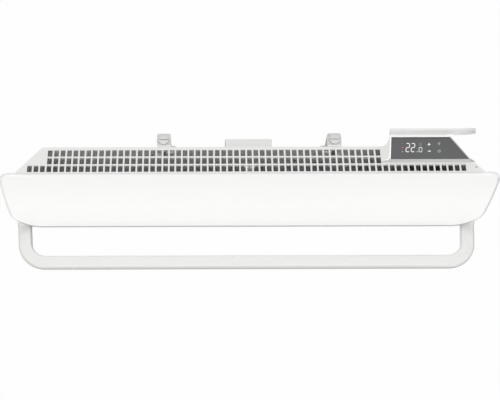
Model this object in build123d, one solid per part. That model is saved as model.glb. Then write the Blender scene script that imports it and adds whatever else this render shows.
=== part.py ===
from build123d import *
import os
from math import cos, degrees, floor, radians, sin, sqrt, tan

# Electric convector heater for a bathroom wall, with a towel bar in front of it.
# Millimetres. +X is the heater's right seen from the front, -Y its front and +Z up.
# The wall is the plane Y = 0, and the origin is the centre of the four wall fixings on it.

# Casing
casing_top = 85.0              # outlet face above the wall fixings' centre
casing_height = 196.0
casing_depth = 60.0
casing_back_width = 808.0
casing_front_width = 908.0
wall_gap = 30.0                # from the wall to the casing's back
sheet = 1.2                    # casing steel
front_flange = 16.0            # rim round the casing's open front
back_corner_radius = 5.0
fit_gap = 0.3                  # between pieces that only lie next to each other
intake_slot_width = 14.0
intake_slot_length = 16.0
intake_pitch = 24.0
intake_margin = 32.0           # from the casing's back corners to the first slots' middle

# Outlet grille
grille_plate = 2.0
grille_pitch = 12.5            # from one column of openings to the next
grille_row_pitch = 17.7
grille_hole_width = 9.3
grille_hole_length = 15.0
grille_first_row = 14.0        # first row's centre in front of the casing's back
grille_left_margin = 20.0      # from the casing's left end to the front row's first column
grille_right_margin = 32.5
rear_row_skip = 3              # columns that the rear rows start later than the front row
box_margin = 4.3               # from the last rear column to the control box's foot
grille_skirt_depth = 7.0
grille_skirt_wall = 1.5
grille_rib_depth = 4.5
grille_rib_wall = 1.6

# Front panel
panel_overhang = 33.5          # past the casing's end at each side
panel_height = 206.0
panel_wall = 2.2
panel_crown = 9.0              # how far its middle height stands in front of its top and bottom
panel_edge = 4.5               # from the casing's front to the panel's top edge
panel_straight = 850.0         # width of the part that is straight in plan
panel_end_radius = 450.0       # plan radius of both ends
panel_top_radius = 30.0
panel_bottom_radius = 48.0
panel_edge_radius = 4.0
panel_hook_spread = 340.0
panel_hook_columns = 3
panel_rib_width = 18.0
panel_rib_height = 4.0
clip_width = 14.0
clip_base = 12.0               # height of a clip's base on the casing's rim
clip_base_sheet = 1.0
clip_leaf_sheet = 0.8
clip_leaf_length = 2.0
clip_play = 0.1                # between a rib and the leaves that hold it

# Wall bracket
bracket_sheet = 2.0
bracket_hole_spacing_x = 334.0
bracket_hole_spacing_z = 90.0
bracket_hole_radius = 3.25
upright_width = 27.0           # beside the arm
upright_inner = 22.0           # below its shoulder, from the lock's axis inwards
upright_outer = 8.0
upright_shoulder = 45.0
upright_radius = 6.0
upright_bottom = -80.0
crossbar_height = 36.0
bracket_flange = 6.0
arm_drop = 8.0                 # arm's top face below the outlet face
arm_width = 27.0
centre_tab_width = 93.0
centre_tab_drop = 17.0
centre_tab_lip = 18.0
centre_tab_radius = 4.0
hook_width = 20.0
hook_height = -70.0
hook_reach = 6.0               # past the casing's back
hook_lip = 8.0
prong_offset = 10.4            # prongs' middle, outside the lock's axis
prong_pitch = 4.0
prong_drop = 22.0
prong_height = 6.0
prong_sheet = 1.6
prong_reach = 8.0
prong_slot_play = 0.5          # beside and above a prong
lift_off = 6.0                 # open height of a slot below its prong

# Quarter-turn locks
lock_axis_depth = 17.6         # from the wall
lock_cap_height = 11.8
lock_cap_radius = 4.0
lock_cap_edge = 0.8
knob_radius = 9.8
knob_height = 4.0
knob_slot_width = 1.6
knob_slot_depth = 1.6
knob_shaft_radius = 4.0
shaft_square = 5.6
shaft_clearance = 0.3
cam_thickness = 3.0
cam_width = 9.0
cam_reach = 19.0
cam_drop = 5.0                 # cam's top face below the arm
clip_radius = 5.0
clip_thickness = 0.8

# Towel bar
bar_width = 28.6
bar_thickness = 14.0
bar_corner = 4.5
bar_wall = 1.5
bar_drop = 4.0                 # centre line below the panel's bottom
bar_reach = 85.0               # centre line of the front run in front of the casing
bar_margin = 21.4              # a leg's centre line from the panel's end, where it leaves its socket
bar_toe_in = 6.5               # degrees
bar_bend_radius = 41.0
bar_grip = 18.0                # length of a leg inside its socket
socket_depth = 24.0
socket_setback = 6.0           # its mouth behind the casing's front
socket_wall = 3.0
socket_side = 1.6              # beside the leg
socket_rise = 24.0             # its top over the panel's bottom
socket_top_radius = 14.0
socket_bottom_radius = 7.0
socket_play = 0.15             # round the leg
socket_screw_radius = 1.9
socket_screw_head = 3.6
socket_screw_head_height = 2.0
socket_screw_length = 7.0      # past the casing's end wall
socket_screw_drop = 6.0        # below the socket's top
socket_screw_depth = 9.0       # in front of the socket's back

# Control box
box_inset = 18.0               # from the casing's end at the back to the rim's right back corner
box_width_back = 117.5         # along the rim's back
box_width_front = 156.3        # along the rim's front
box_depth = 36.8
box_front_lip = 1.0            # front wall in front of the display
box_front_height = 9.6         # rim above the outlet face at the front
display_tilt = 39.5            # degrees
display_depth = 42.0           # along the slope
box_wall = 2.0
box_left_rim = 3.0             # rim beside the display
box_right_rim = 2.0
flare_drop = 4.4               # left flare ends this far under the rim
right_flare_drop = 7.0
left_flare = 14.0
left_flare_height = 24.0
right_flare = 7.5
right_flare_height = 7.0
glass_thickness = 2.0
glass_recess = 0.4
glass_gap = 0.2
glass_ledge = 3.0              # width of the seat under the glass

# Lid
lid_thickness = 3.0
lid_gap = 0.3
lid_skirt = 3.0                # depth of its left skirt below its leaf
lid_skirt_wall = 1.6
lid_heel = 2.0                 # depth of its right skirt below the rim at the hinge
lid_heel_place = 0.5           # down the slope from the display's back edge
lid_toe = 5.5                  # full depth of its right skirt
lid_toe_place = 25.0
lid_clearance = 0.8            # between a skirt and the box's side
lid_overhang = 8.8             # its left front corner past the box's side
lid_front_gap = 0.5            # past the display's front edge
lid_tip_radius = 6.0
lid_open = 106.0               # degrees from closed to the open stop
hinge_back = 6.0               # hinge axis behind the display's back edge, along the slope
hinge_rise = 1.8               # hinge axis above the rim
barrel_radius = 2.7
barrel_clearance = 0.4
lug_width = 7.0
lug_wall = 0.6                 # outer radius of a lug over the barrel's
pin_radius = 1.2
pin_fit = 0.06
pin_running = 0.1

# Element and what stands inside the casing
element_left_margin = 24.0     # from the casing's left back corner
element_right_margin = 114.0   # from its right back corner
element_height = -52.0
element_depth = 28.0           # axis in front of the casing's back
element_core_radius = 8.0
element_wing = 34.0
element_wing_wall = 1.8
element_fin = 9.0
element_fin_wall = 1.2
element_fins = 3               # cross fins on each wing
element_fin_pitch = 9.0
element_first_fin = 7.0        # past the core
element_splay = 32.0           # degrees from vertical
rod_radius = 4.4
rod_end = 22.0
rod_gap = 0.1
stud_radius = 1.5
stud_length = 9.0
support_sheet = 1.5
support_width = 34.0
support_foot = 12.0
support_top = 18.0             # above the element's axis
bush_radius = 7.0
bush_length = 12.0
bush_flange = 2.5              # past the bush's radius
bush_flange_thickness = 3.0
bush_standoff = 6.0            # from the element's end to the bush
bush_play = 0.15
partition_margin = 78.0        # from the casing's right back corner
partition_hole_radius = 6.0
partition_sheet = 1.0
baffle_sheet = 0.8
baffle_depth = 52.0            # in front of the casing's back
baffle_top = 30.0
baffle_lip = 6.0
baffle_end_gap = 4.0

# Overheat cut-out over the element
cutout_x = 140.0
cutout_height = 62.0           # its strip above the element's axis
cutout_strip_width = 20.0
cutout_strip_height = 24.0
cutout_strip_reach = 25.0
cutout_strip_sheet = 1.0
cutout_depth = 15.0            # disc's middle in front of the casing's back sheet
cutout_radius = 8.0
cutout_thickness = 9.0
cutout_tab_width = 5.0
cutout_tab_length = 6.0
cutout_tab_sheet = 0.8

# Stay under the grille's middle
stay_width = 24.0
stay_seat = 6.0                # depth of its top under the rib between the two front rows
stay_lead = 2.5                # its top starts this far behind that rib's middle
stay_corner = 3.0
stay_sheet = 1.5
stay_foot_height = 26.0
stay_hole_radius = 1.6
stay_hole_lead = 1.8           # hole in front of the rib's middle

# Electronics
board_thickness = 1.6
board_width = 60.0
board_margin = 6.0             # from the casing's right back corner
board_bottom = -70.0
board_top = 10.0
relay_size = (20.0, 15.0, 28.0)
relay_place = (18.0, -24.0)    # middle from the board's left edge, and its height
capacitor_size = (18.0, 12.0, 24.0)
capacitor_place = (43.0, -24.0)
terminal_size = (36.0, 14.0, 16.0)
terminal_place = (30.0, -56.0)
terminal_count = 3
terminal_pitch = 11.0
terminal_hole_radius = 2.6
terminal_hole_depth = 6.0
standoff_height = 8.0
standoff_radius = 3.0
board_hole_inset = 5.0
board_hole_radius = 1.6
gland_margin = 36.0            # from the casing's right back corner
gland_height = -93.0
gland_radius = 8.0
gland_flange = 11.5
gland_tail = 9.0
gland_flange_thickness = 3.0
gland_bore = 4.2
gland_inside = 4.0             # past the casing's inner face
gland_nut_size = 11.0          # across the nut's corners, halved
gland_nut_thickness = 3.5
sensor_margin = 58.0           # from the casing's right back corner
sensor_depth = 40.0            # in front of the casing's back
sensor_width = 12.0
sensor_foot = 10.0             # depth and height of its holder
sensor_probe_radius = 2.2
sensor_probe_length = 6.0
end_screw_margin = 6.1         # from the casing's slanted end
end_screw_depth = 48.8
end_screw_radius = 2.2
end_screw_height = 0.8

# Display parts under the glass
display_board_margin = 5.5     # inside the glass outline
display_board_drop = 4.0       # under the glass
digit_width = 38.0
digit_depth = 16.0
digit_height = 3.7
digit_place = (34.0, 17.5)     # middle from the glass's left edge and down the slope
touch_spring_radius = 3.0
touch_columns = (73.5, 93.5)   # from the glass's left edge
touch_rows = (14.0, 26.5)      # down the slope

# Places that several pieces share
casing_back = -wall_gap
casing_front = casing_back - casing_depth
casing_bottom = casing_top - casing_height
lean = (casing_front_width - casing_back_width) / 2 / casing_depth
shell_top = casing_top - grille_plate
panel_width = casing_front_width + 2 * panel_overhang
panel_middle = casing_top - panel_height / 2
panel_bottom = casing_top - panel_height
panel_rim_y = casing_front - panel_edge
panel_face_y = panel_rim_y - panel_crown
casing_end = casing_back_width / 2
bar_height = panel_bottom - bar_drop
bar_front = casing_front - bar_reach
bar_half_span = panel_width / 2 - bar_margin
bar_drift = tan(radians(bar_toe_in))
socket_mouth = casing_front + socket_setback
socket_back = socket_mouth + socket_depth
socket_top = panel_bottom + socket_rise
bar_seat = socket_mouth + bar_grip
element_left = element_left_margin - casing_end
element_right = casing_end - element_right_margin
partition_x = casing_end - partition_margin
board_right = casing_end - board_margin
board_left = board_right - board_width
gland_x = casing_end - gland_margin
sensor_x = casing_end - sensor_margin
box_right_back = casing_end - box_inset
box_left = box_right_back - box_width_back
box_right_front = box_left + box_width_front
box_front = casing_back - box_depth
lock_x = bracket_hole_spacing_x / 2
lock_y = -lock_axis_depth
arm_top = casing_top - arm_drop
slope_across = Vector(0, -cos(radians(display_tilt)), -sin(radians(display_tilt)))
slope_up = Vector(0, -sin(radians(display_tilt)), cos(radians(display_tilt)))
rim_front = Vector(0, box_front + box_front_lip, casing_top + box_front_height)
rim_back = rim_front - slope_across * display_depth
hinge = rim_back - slope_across * hinge_back + slope_up * hinge_rise
box_run = (box_right_front - box_right_back) / (rim_back.Y - rim_front.Y)
box_slant = (box_right_front - box_right_back) / display_depth
slope = Plane(origin=rim_back, x_dir=(1, 0, 0), z_dir=slope_up)   # local -y runs down the slope
element_y = casing_back - element_depth
cap_top = arm_top + lock_cap_height
cam_top = arm_top - bracket_sheet - cam_drop
floor_z = casing_bottom + sheet


def span(x0, x1, y0, y1, z0, z1):
    """Block between two corners."""
    return Pos((x0 + x1) / 2, (y0 + y1) / 2, (z0 + z1) / 2) * Box(abs(x1 - x0), abs(y1 - y0), abs(z1 - z0))


def end_x(y, inset=0.0):
    """Half width of the casing at depth y, a given thickness inside its slanted ends."""
    return casing_back_width / 2 + lean * (casing_back - y) - inset * sqrt(1 + lean ** 2)


def upright(plan, bottom, top):
    """A plan made solid between two heights."""
    return extrude(Pos(0, 0, bottom) * plan, amount=top - bottom, dir=(0, 0, 1))


def plan_block(back, front, inset, bottom, top):
    """Upright block with the casing's plan between two depths, its ends set in by a thickness."""
    xb = end_x(back, inset)
    xf = end_x(front, inset)
    plan = Polygon((-xf, front), (xf, front), (xb, back), (-xb, back), align=None)
    return upright(plan, bottom, top)


def slab(sketch, back, front):
    """A sketch drawn in the front view, made solid between two depths."""
    return extrude(Plane.XZ.offset(-back) * sketch, amount=back - front, dir=(0, -1, 0))


def on_slope(sketch, lift, thickness):
    """A sketch in the display's sloping plane, made solid downwards from a height over the rim."""
    return extrude(slope.offset(lift - thickness) * sketch, amount=thickness, dir=slope_up)


def rod(radius, start, end):
    """Round rod between two points."""
    start = Vector(*start)
    end = Vector(*end)
    return extrude(Plane(origin=start, z_dir=end - start) * Circle(radius), amount=(end - start).length)


def repeat(shape, locations):
    """One sketch with a copy of a shape at every location."""
    return Sketch() + [location * shape for location in locations]


def both_sides(piece):
    """A piece and its mirror image across the heater's middle."""
    return piece + mirror(piece, about=Plane.YZ)


def rear_casing():
    """Folded steel shell: back, slanted ends, slotted bottom and a rim round the open front."""
    shell = plan_block(casing_back, casing_front, 0, casing_bottom, shell_top)
    corners = shell.edges().filter_by(Axis.Z).group_by(Axis.Y)[-1]
    shell = fillet(corners, back_corner_radius)
    shell -= plan_block(casing_back - sheet, casing_front + sheet, sheet, floor_z, shell_top + 1)
    opening = end_x(casing_front) - front_flange
    shell -= span(-opening, opening, casing_front - 1, casing_front + sheet + 1,
                  casing_bottom + front_flange, shell_top - front_flange)
    shell -= intake_slots()
    shell -= lock_slots()
    shell -= rod(gland_radius + fit_gap, (gland_x, casing_back - 5, gland_height), (gland_x, 0, gland_height))
    return shell - both_sides(socket_screw(socket_screw_radius + fit_gap))


def intake_slots():
    """Two rows of slots in the casing's bottom, where room air comes in."""
    slot = Rectangle(intake_slot_width, intake_slot_length)
    columns = 1 + floor((casing_back_width - 2 * intake_margin) / intake_pitch)
    field = repeat(slot, GridLocations(intake_pitch, intake_pitch, columns, 2))
    return upright(Pos(0, casing_back - casing_depth / 2) * field, casing_bottom - 1, floor_z + 1)


def lock_slots():
    """Slots in the casing's back for the bracket's hooks and prongs and for the locks' cams."""
    hook = span(lock_x - hook_width / 2 - 2, lock_x + hook_width / 2 + 2, casing_back + 1, casing_back - 5,
                hook_height - bracket_sheet - hook_lip - 1, hook_height + fit_gap)
    swing = wall_gap + sheet - lock_axis_depth
    reach = sqrt(cam_reach ** 2 - swing ** 2) + cam_width / 2 + 1.5
    cam = span(lock_x + cam_width / 2 + 1, lock_x - reach, casing_back + 1, casing_back - 5,
               cam_top - cam_thickness - 1.5, cam_top + 1.5)
    slots = hook + cam
    half = prong_sheet / 2 + prong_slot_play
    top = casing_top - prong_drop
    for x in prong_places():
        slots += span(x - half, x + half, casing_back + 1, casing_back - 5, top - prong_height - lift_off,
                      top + prong_slot_play)
    return both_sides(slots)


def prong_places():
    """Places along the heater of the two prongs beside the right lock."""
    middle = lock_x + prong_offset
    return middle - prong_pitch / 2, middle + prong_pitch / 2


def grille_openings():
    """Three rows of outlet openings; the two rear rows stop short of the control box."""
    hole = Rectangle(grille_hole_width, grille_hole_length)
    front_y = row_depth(2)
    first = grille_left_margin - end_x(front_y)
    last = end_x(front_y) - grille_right_margin
    cuts = Sketch()
    for row in range(3):
        start = first if row == 2 else first + rear_row_skip * grille_pitch
        stop = last if row == 2 else box_left - left_flare - box_margin
        columns = 1 + floor((stop - start) / grille_pitch)
        middle = start + (columns - 1) * grille_pitch / 2
        cuts += Pos(middle, row_depth(row)) * repeat(hole, GridLocations(grille_pitch, 1, columns, 1))
    return upright(cuts, shell_top - grille_rib_depth - 1, casing_top + 1)


def row_depth(row):
    """Depth of a grille row's middle, from the wall; halves lie between two rows."""
    return casing_back - grille_first_row - row * grille_row_pitch


def top_grille():
    """Moulded outlet grille: a thin plate over the whole casing, ribs between the rows and a skirt inside."""
    plate = plan_block(casing_back, casing_front, 0, shell_top, casing_top)
    corners = plate.edges().filter_by(Axis.Z).group_by(Axis.Y)[-1]
    plate = fillet(corners, back_corner_radius)
    inside = sheet + fit_gap
    low = shell_top - grille_skirt_depth
    skirt = plan_block(casing_back - inside, casing_front + inside, inside, low, shell_top)
    wall = inside + grille_skirt_wall
    skirt -= plan_block(casing_back - wall, casing_front + wall, wall, low - 1, shell_top)
    ribs = Part()
    for row in (0.5, 1.5):
        y = row_depth(row)
        half = end_x(y, wall)
        ribs += span(-half, half, y - grille_rib_wall / 2, y + grille_rib_wall / 2,
                     shell_top - grille_rib_depth, shell_top)
    return plate + skirt + ribs - grille_openings()


def swept(profile):
    """A profile drawn in the side view, straight along the middle of the panel, with each end turned
    back round a large upright arc."""
    start = panel_straight / 2
    middle = extrude(Plane.YZ.offset(-start) * profile, amount=panel_straight)
    turn = degrees((panel_width / 2 - start + 12) / panel_end_radius)
    axis = Axis((start, panel_face_y + panel_end_radius, 0), (0, 0, 1))
    end = revolve(Plane.YZ.offset(start) * profile, axis=axis, revolution_arc=turn)
    return middle + both_sides(end)


def panel_form(wall):
    """Body behind the panel's crowned face, set back by a wall."""
    radius = (panel_height / 2) ** 2 / (2 * panel_crown) + panel_crown / 2
    face = panel_face_y + wall
    reach = panel_height / 2 + 10
    sag = radius - sqrt(radius ** 2 - reach ** 2)
    back = casing_back
    outline = Polyline((face + sag, panel_middle + reach), (back, panel_middle + reach),
                       (back, panel_middle - reach), (face + sag, panel_middle - reach))
    bow = ThreePointArc((face + sag, panel_middle - reach), (face, panel_middle),
                        (face + sag, panel_middle + reach))
    return swept(make_face(outline + bow))


def behind_rim():
    """Everything behind the panel's rim, which lies on the casing's front and is swept back at its ends."""
    near = casing_front - fit_gap
    far = casing_back + 10
    return swept(Pos((near + far) / 2, panel_middle) * Rectangle(far - near, panel_height + 40))


def panel_outline(inset):
    """Front view of the panel: small radii at its top corners and large ones at the bottom."""
    shape = Pos(0, panel_middle) * Rectangle(panel_width - 2 * inset, panel_height - 2 * inset)
    shape = fillet(shape.vertices().group_by(Axis.Y)[-1], panel_top_radius - inset)
    return fillet(shape.vertices().group_by(Axis.Y)[0], panel_bottom_radius - inset)


def round_front_edge(body, radius):
    """Round the edge where the crowned face meets the rim all the way round."""
    rim = []
    for edge in body.edges():
        centre = edge.center()
        seam = edge.length > panel_height / 2 and abs(abs(centre.X) - panel_straight / 2) < 1
        along_depth = abs(edge.tangent_at(0.5).Y) > 0.9
        if centre.Y < casing_front + 8 and not seam and not along_depth:
            rim.append(edge)
    return fillet(rim, radius)


def front_panel():
    """Moulded front: a crowned shell wider than the casing, with a shallow rim all round its back."""
    outer = slab(panel_outline(0), casing_back, casing_front - 40) & panel_form(0)
    outer = round_front_edge(outer, panel_edge_radius)
    inner = slab(panel_outline(panel_wall), casing_back + 5, casing_front - 40) & panel_form(panel_wall)
    seat = end_x(casing_front) + fit_gap
    low = casing_bottom - fit_gap
    shell = outer - inner - behind_rim()
    shell -= span(-seat, seat, casing_front - fit_gap, casing_back, low, casing_top + 5)
    near = casing_front - clip_base_sheet - fit_gap
    form = panel_form(panel_wall / 2)
    for x in hook_columns():
        for z in hook_rows():
            rib = Pos(x, near - 10, z) * Box(panel_rib_width, 20, panel_rib_height)
            shell += rib & form
    return shell


def hook_columns():
    """Places of the panel's hooks across its width."""
    first = -panel_hook_spread * (panel_hook_columns - 1) / 2
    return [first + panel_hook_spread * i for i in range(panel_hook_columns)]


def hook_rows():
    """Heights of the panel's two rows of hooks, on the casing's front rim."""
    return [casing_bottom + front_flange / 2, shell_top - front_flange / 2]


def panel_clips():
    """Spring clips on the casing's front rim, each with two leaves that hold a rib of the panel."""
    face = casing_front - clip_base_sheet
    leaf_offset = panel_rib_height / 2 + clip_play + clip_leaf_sheet / 2
    clip = Pos(0, casing_front - clip_base_sheet / 2, 0) * Box(clip_width, clip_base_sheet, clip_base)
    for side in (-1, 1):
        leaf = Box(clip_width, clip_leaf_length, clip_leaf_sheet)
        clip += Pos(0, face - clip_leaf_length / 2, side * leaf_offset) * leaf
    return Part() + [Pos(x, 0, z) * clip for x in hook_columns() for z in hook_rows()]


def wall_bracket():
    """Pressed steel bracket: two uprights and a crossbar on the wall, arms for the locks, bottom hooks,
    prongs through the casing's back and a raised tab in the middle."""
    plate = Pos(0, 0) * Rectangle(bracket_hole_spacing_x, crossbar_height)
    tab_top = casing_top - centre_tab_drop
    tab = Pos(0, tab_top / 2) * Rectangle(centre_tab_width, tab_top)
    plate += fillet(tab.vertices().group_by(Axis.Y)[-1], centre_tab_radius)
    for side in (-1, 1):
        foot = Rectangle(upright_inner + upright_outer, upright_shoulder - upright_bottom)
        middle = lock_x + (upright_outer - upright_inner) / 2
        foot = Pos(side * middle, (upright_shoulder + upright_bottom) / 2) * foot
        plate += fillet(foot.vertices().group_by(Axis.Y)[0], upright_radius)
        neck = Rectangle(upright_width, arm_top - upright_shoulder)
        plate += Pos(side * lock_x, (arm_top + upright_shoulder) / 2) * neck
    for side in (-1, 1):
        for z in (-bracket_hole_spacing_z / 2, bracket_hole_spacing_z / 2):
            plate -= Pos(side * lock_x, z) * Circle(bracket_hole_radius)
    bracket = slab(plate, 0, -bracket_sheet)
    reach = lock_x - upright_inner
    flange_y = -bracket_sheet - bracket_flange
    for z in (-crossbar_height / 2, crossbar_height / 2 - bracket_sheet):
        bracket += span(-reach, reach, -bracket_sheet, flange_y, z, z + bracket_sheet)
    lip = centre_tab_width / 2 - centre_tab_radius
    lip_y = -bracket_sheet - centre_tab_lip
    bracket += span(-lip, lip, -bracket_sheet, lip_y, tab_top - bracket_sheet, tab_top)
    back = casing_back + fit_gap
    arm_low = arm_top - bracket_sheet
    arm = span(lock_x - arm_width / 2, lock_x + arm_width / 2, -bracket_sheet, back, arm_low, arm_top)
    bore = knob_shaft_radius + shaft_clearance
    arm -= rod(bore, (lock_x, lock_y, arm_top - 10), (lock_x, lock_y, arm_top + 10))
    tip = casing_back - hook_reach
    hook = span(lock_x - hook_width / 2, lock_x + hook_width / 2, -bracket_sheet, tip,
                hook_height - bracket_sheet, hook_height)
    hook += span(lock_x - hook_width / 2, lock_x + hook_width / 2, tip, tip + bracket_sheet,
                 hook_height - bracket_sheet, hook_height + hook_lip)
    prongs = Part()
    prong_top = casing_top - prong_drop
    for x in prong_places():
        prongs += span(x - prong_sheet / 2, x + prong_sheet / 2, -bracket_sheet, casing_back - prong_reach,
                       prong_top - prong_height, prong_top)
    return bracket + both_sides(arm + hook + prongs)


def lock_housing():
    """Plastic cap on the right arm, with rounded rear corners, that the knob lies on."""
    back = casing_back + fit_gap
    plan = Pos(lock_x, back / 2 - 0.15) * Rectangle(arm_width, -back - 0.3)
    plan = fillet(plan.vertices().group_by(Axis.Y)[-1], lock_cap_radius)
    cap = upright(plan, arm_top, cap_top)
    cap = chamfer(cap.faces().sort_by(Axis.Z)[-1].edges(), lock_cap_edge)
    bore = knob_shaft_radius + shaft_clearance
    return cap - rod(bore, (lock_x, lock_y, arm_top - 1), (lock_x, lock_y, cap_top + 5))


def lock_knob():
    """Round knob with a screwdriver slot and a shaft with a squared end."""
    low = cap_top + fit_gap
    head = upright(Pos(lock_x, lock_y) * Circle(knob_radius), low, low + knob_height)
    head = chamfer(head.faces().sort_by(Axis.Z)[-1].edges(), 0.5)
    top = low + knob_height
    slot = Box(2 * knob_radius, knob_slot_width, 2 * knob_slot_depth)
    head -= Pos(lock_x, lock_y, top) * slot
    shaft = rod(knob_shaft_radius, (lock_x, lock_y, cam_top), (lock_x, lock_y, low + 1))
    square = span(lock_x - shaft_square / 2, lock_x + shaft_square / 2, lock_y - shaft_square / 2,
                  lock_y + shaft_square / 2, cam_top - cam_thickness - 1.5, cam_top)
    return head + shaft + square


def lock_cam():
    """Steel tongue on the shaft's squared end, pointing into the casing when the lock is shut."""
    behind = cam_width / 2 + 2
    plan = SlotOverall(cam_reach + behind, cam_width).rotate(Axis.Z, 90)
    shift = (cam_reach - behind) / 2
    cam = upright(Pos(lock_x, lock_y - shift) * plan, cam_top - cam_thickness, cam_top)
    hole = shaft_square / 2 + 0.05
    return cam - span(lock_x - hole, lock_x + hole, lock_y - hole, lock_y + hole, cam_top - 10, cam_top + 5)


def lock_clip():
    """Spring clip that keeps the shaft in its arm."""
    top = arm_top - bracket_sheet - fit_gap
    mouth = Pos(0, -clip_radius) * Rectangle(clip_radius * 0.8, 2 * clip_radius)
    ring = Circle(clip_radius) - Circle(knob_shaft_radius + 0.02) - mouth
    return upright(Pos(lock_x, lock_y) * ring, top - clip_thickness, top)


def bar_line(side):
    """Centre line of one leg from its seat to the front run."""
    seat_x = bar_half_span + (bar_seat - socket_mouth) * bar_drift
    corner_x = bar_half_span - (socket_mouth - bar_front) * bar_drift
    return (side * seat_x, bar_seat), (side * corner_x, bar_front)


def bar_section(grow):
    """Section of the bar, a rectangle with round corners, grown all round."""
    return RectangleRounded(bar_width + 2 * grow, bar_thickness + 2 * grow, bar_corner + grow)


def towel_bar():
    """Flat tube with round corners bent to a U, its legs toed in towards the front run."""
    left_seat, left_corner = bar_line(-1)
    right_seat, right_corner = bar_line(1)
    points = [Vector(x, y, bar_height) for x, y in (left_seat, left_corner, right_corner, right_seat)]
    path = FilletPolyline(*points, radius=bar_bend_radius)
    start = Plane(origin=path @ 0, x_dir=Vector(0, 0, 1).cross(path % 0), z_dir=path % 0)
    return sweep(start * (bar_section(0) - bar_section(-bar_wall)), path=path)


def bar_bore(clearance, back, front):
    """Straight tube section along the right leg's line, to cut its socket with."""
    (seat_x, seat_y), (corner_x, corner_y) = bar_line(1)
    direction = Vector(corner_x - seat_x, corner_y - seat_y, 0).normalized()
    origin = Vector(seat_x, seat_y, bar_height) + direction * back
    plane = Plane(origin=origin, x_dir=Vector(0, 0, 1).cross(direction), z_dir=direction)
    return extrude(plane * bar_section(clearance), amount=front)


def bar_socket():
    """Moulded socket on the casing's right end, passing below the panel's corner to hold a leg."""
    bottom = bar_height - bar_thickness / 2 - socket_wall
    mouth_x = bar_half_span + bar_width / 2 + socket_side
    back_x = mouth_x + socket_depth * bar_drift
    plan = Polygon((end_x(socket_mouth), socket_mouth), (mouth_x, socket_mouth), (back_x, socket_back),
                   (end_x(socket_back), socket_back), align=None)
    body = upright(plan, bottom, socket_top)
    inner_x = end_x(socket_back) - 1
    front = Pos((inner_x + back_x) / 2, (bottom + socket_top) / 2)
    front *= Rectangle(back_x - inner_x, socket_top - bottom)
    front = fillet(front.vertices().group_by(Axis.X)[-1].sort_by(Axis.Y)[-1], socket_top_radius)
    front = fillet(front.vertices().group_by(Axis.Y)[0].sort_by(Axis.X)[-1], socket_bottom_radius)
    body &= slab(front, socket_back, socket_mouth)
    body -= socket_screw(socket_screw_radius + 0.05)
    return body - bar_bore(socket_play, -0.2, 60)


def socket_screw(radius):
    """Shank of the screw that holds the right socket, square to the casing's slanted end."""
    seat, normal = socket_screw_seat()
    return rod(radius, seat - normal * (sheet + 0.1), seat + normal * socket_screw_length)


def socket_screw_seat():
    """Where the right socket's screw passes the casing's outer face, and the way that it points."""
    y = socket_back - socket_screw_depth
    normal = Vector(1, lean, 0).normalized()
    return Vector(end_x(y), y, socket_top - socket_screw_drop), normal


def socket_screws():
    """Screws from inside the casing that hold the two sockets to its ends."""
    seat, normal = socket_screw_seat()
    inner = seat - normal * sheet
    head = rod(socket_screw_head, inner - normal * socket_screw_head_height, inner)
    shank = rod(socket_screw_radius, inner, seat + normal * (socket_screw_length - 1))
    return both_sides(head + shank)


def box_right(y):
    """Place of the control box's right side at a depth; it runs beside the display."""
    return box_right_back + box_run * (rim_back.Y - y)


def box_plan(inset):
    """Plan of the control box's upper part: its right side follows the display's slanted end."""
    side = inset * sqrt(1 + box_run ** 2)
    front = box_front + inset
    back = casing_back - inset
    return Polygon((box_left + inset, front), (box_right(front) - side, front),
                   (box_right(back) - side, back), (box_left + inset, back), align=None)


def above_slope(lift):
    """Everything over the sloping rim, raised by a lift."""
    return on_slope(Pos(box_left, 0) * Rectangle(2 * casing_front_width, 4 * casing_depth), lift + 200, 200)


def box_flares():
    """Hollow-curved skirts at the foot of the box's left and right walls."""
    left = mirror(flare_section(left_flare, left_flare_height), about=Plane.YZ)
    flares = slab(Pos(box_left, casing_top) * left, casing_back, box_front)
    along = Vector(box_run, -1, 0).normalized()
    across = Vector(0, 0, 1).cross(along)
    start = Vector(box_right(casing_back), casing_back, casing_top) - along * casing_depth
    plane = Plane(origin=start, x_dir=across, z_dir=across.cross(Vector(0, 0, 1)))
    skirt = extrude(plane * flare_section(right_flare, right_flare_height), amount=3 * casing_depth, dir=along)
    skirt &= span(0, casing_front_width, casing_back, box_front, casing_top, casing_top + casing_depth)
    return flares + (skirt - above_slope(-right_flare_drop))


def flare_section(width, height):
    """Section of a skirt to the right of a wall, hollow-curved from the wall down to its foot."""
    edges = Polyline((0, height), (-box_wall, height), (-box_wall, 0), (width, 0))
    return make_face(edges + Bezier((width, 0), (0, 0), (0, height)))


def control_housing():
    """Wedge-shaped moulding over the right of the grille: sloping rim, display recess and lid lugs."""
    body = upright(box_plan(0), casing_top, casing_top + casing_depth) - above_slope(0)
    body += box_flares() - above_slope(-flare_drop)
    hollow = upright(box_plan(box_wall), casing_top - 1, casing_top + casing_depth) - above_slope(-box_wall)
    body -= hollow
    body -= display_pocket(glass_gap, glass_recess + glass_thickness + glass_gap)
    body -= display_window_cut()
    left_lug = box_left + lug_width
    right_end = box_right(hinge.Y)
    right_lug = right_end - lug_width
    body -= hinge_rod(barrel_radius + barrel_clearance, left_lug, right_lug)
    body += hinge_rod(barrel_radius + lug_wall, box_left, left_lug)
    body += hinge_rod(barrel_radius + lug_wall, right_lug, right_end)
    return body - hinge_rod(pin_radius + pin_fit, box_left - 5, right_end + 5)


def hinge_rod(radius, start, end):
    """Round rod on the lid's hinge axis."""
    return rod(radius, (start, hinge.Y, hinge.Z), (end, hinge.Y, hinge.Z))


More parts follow.
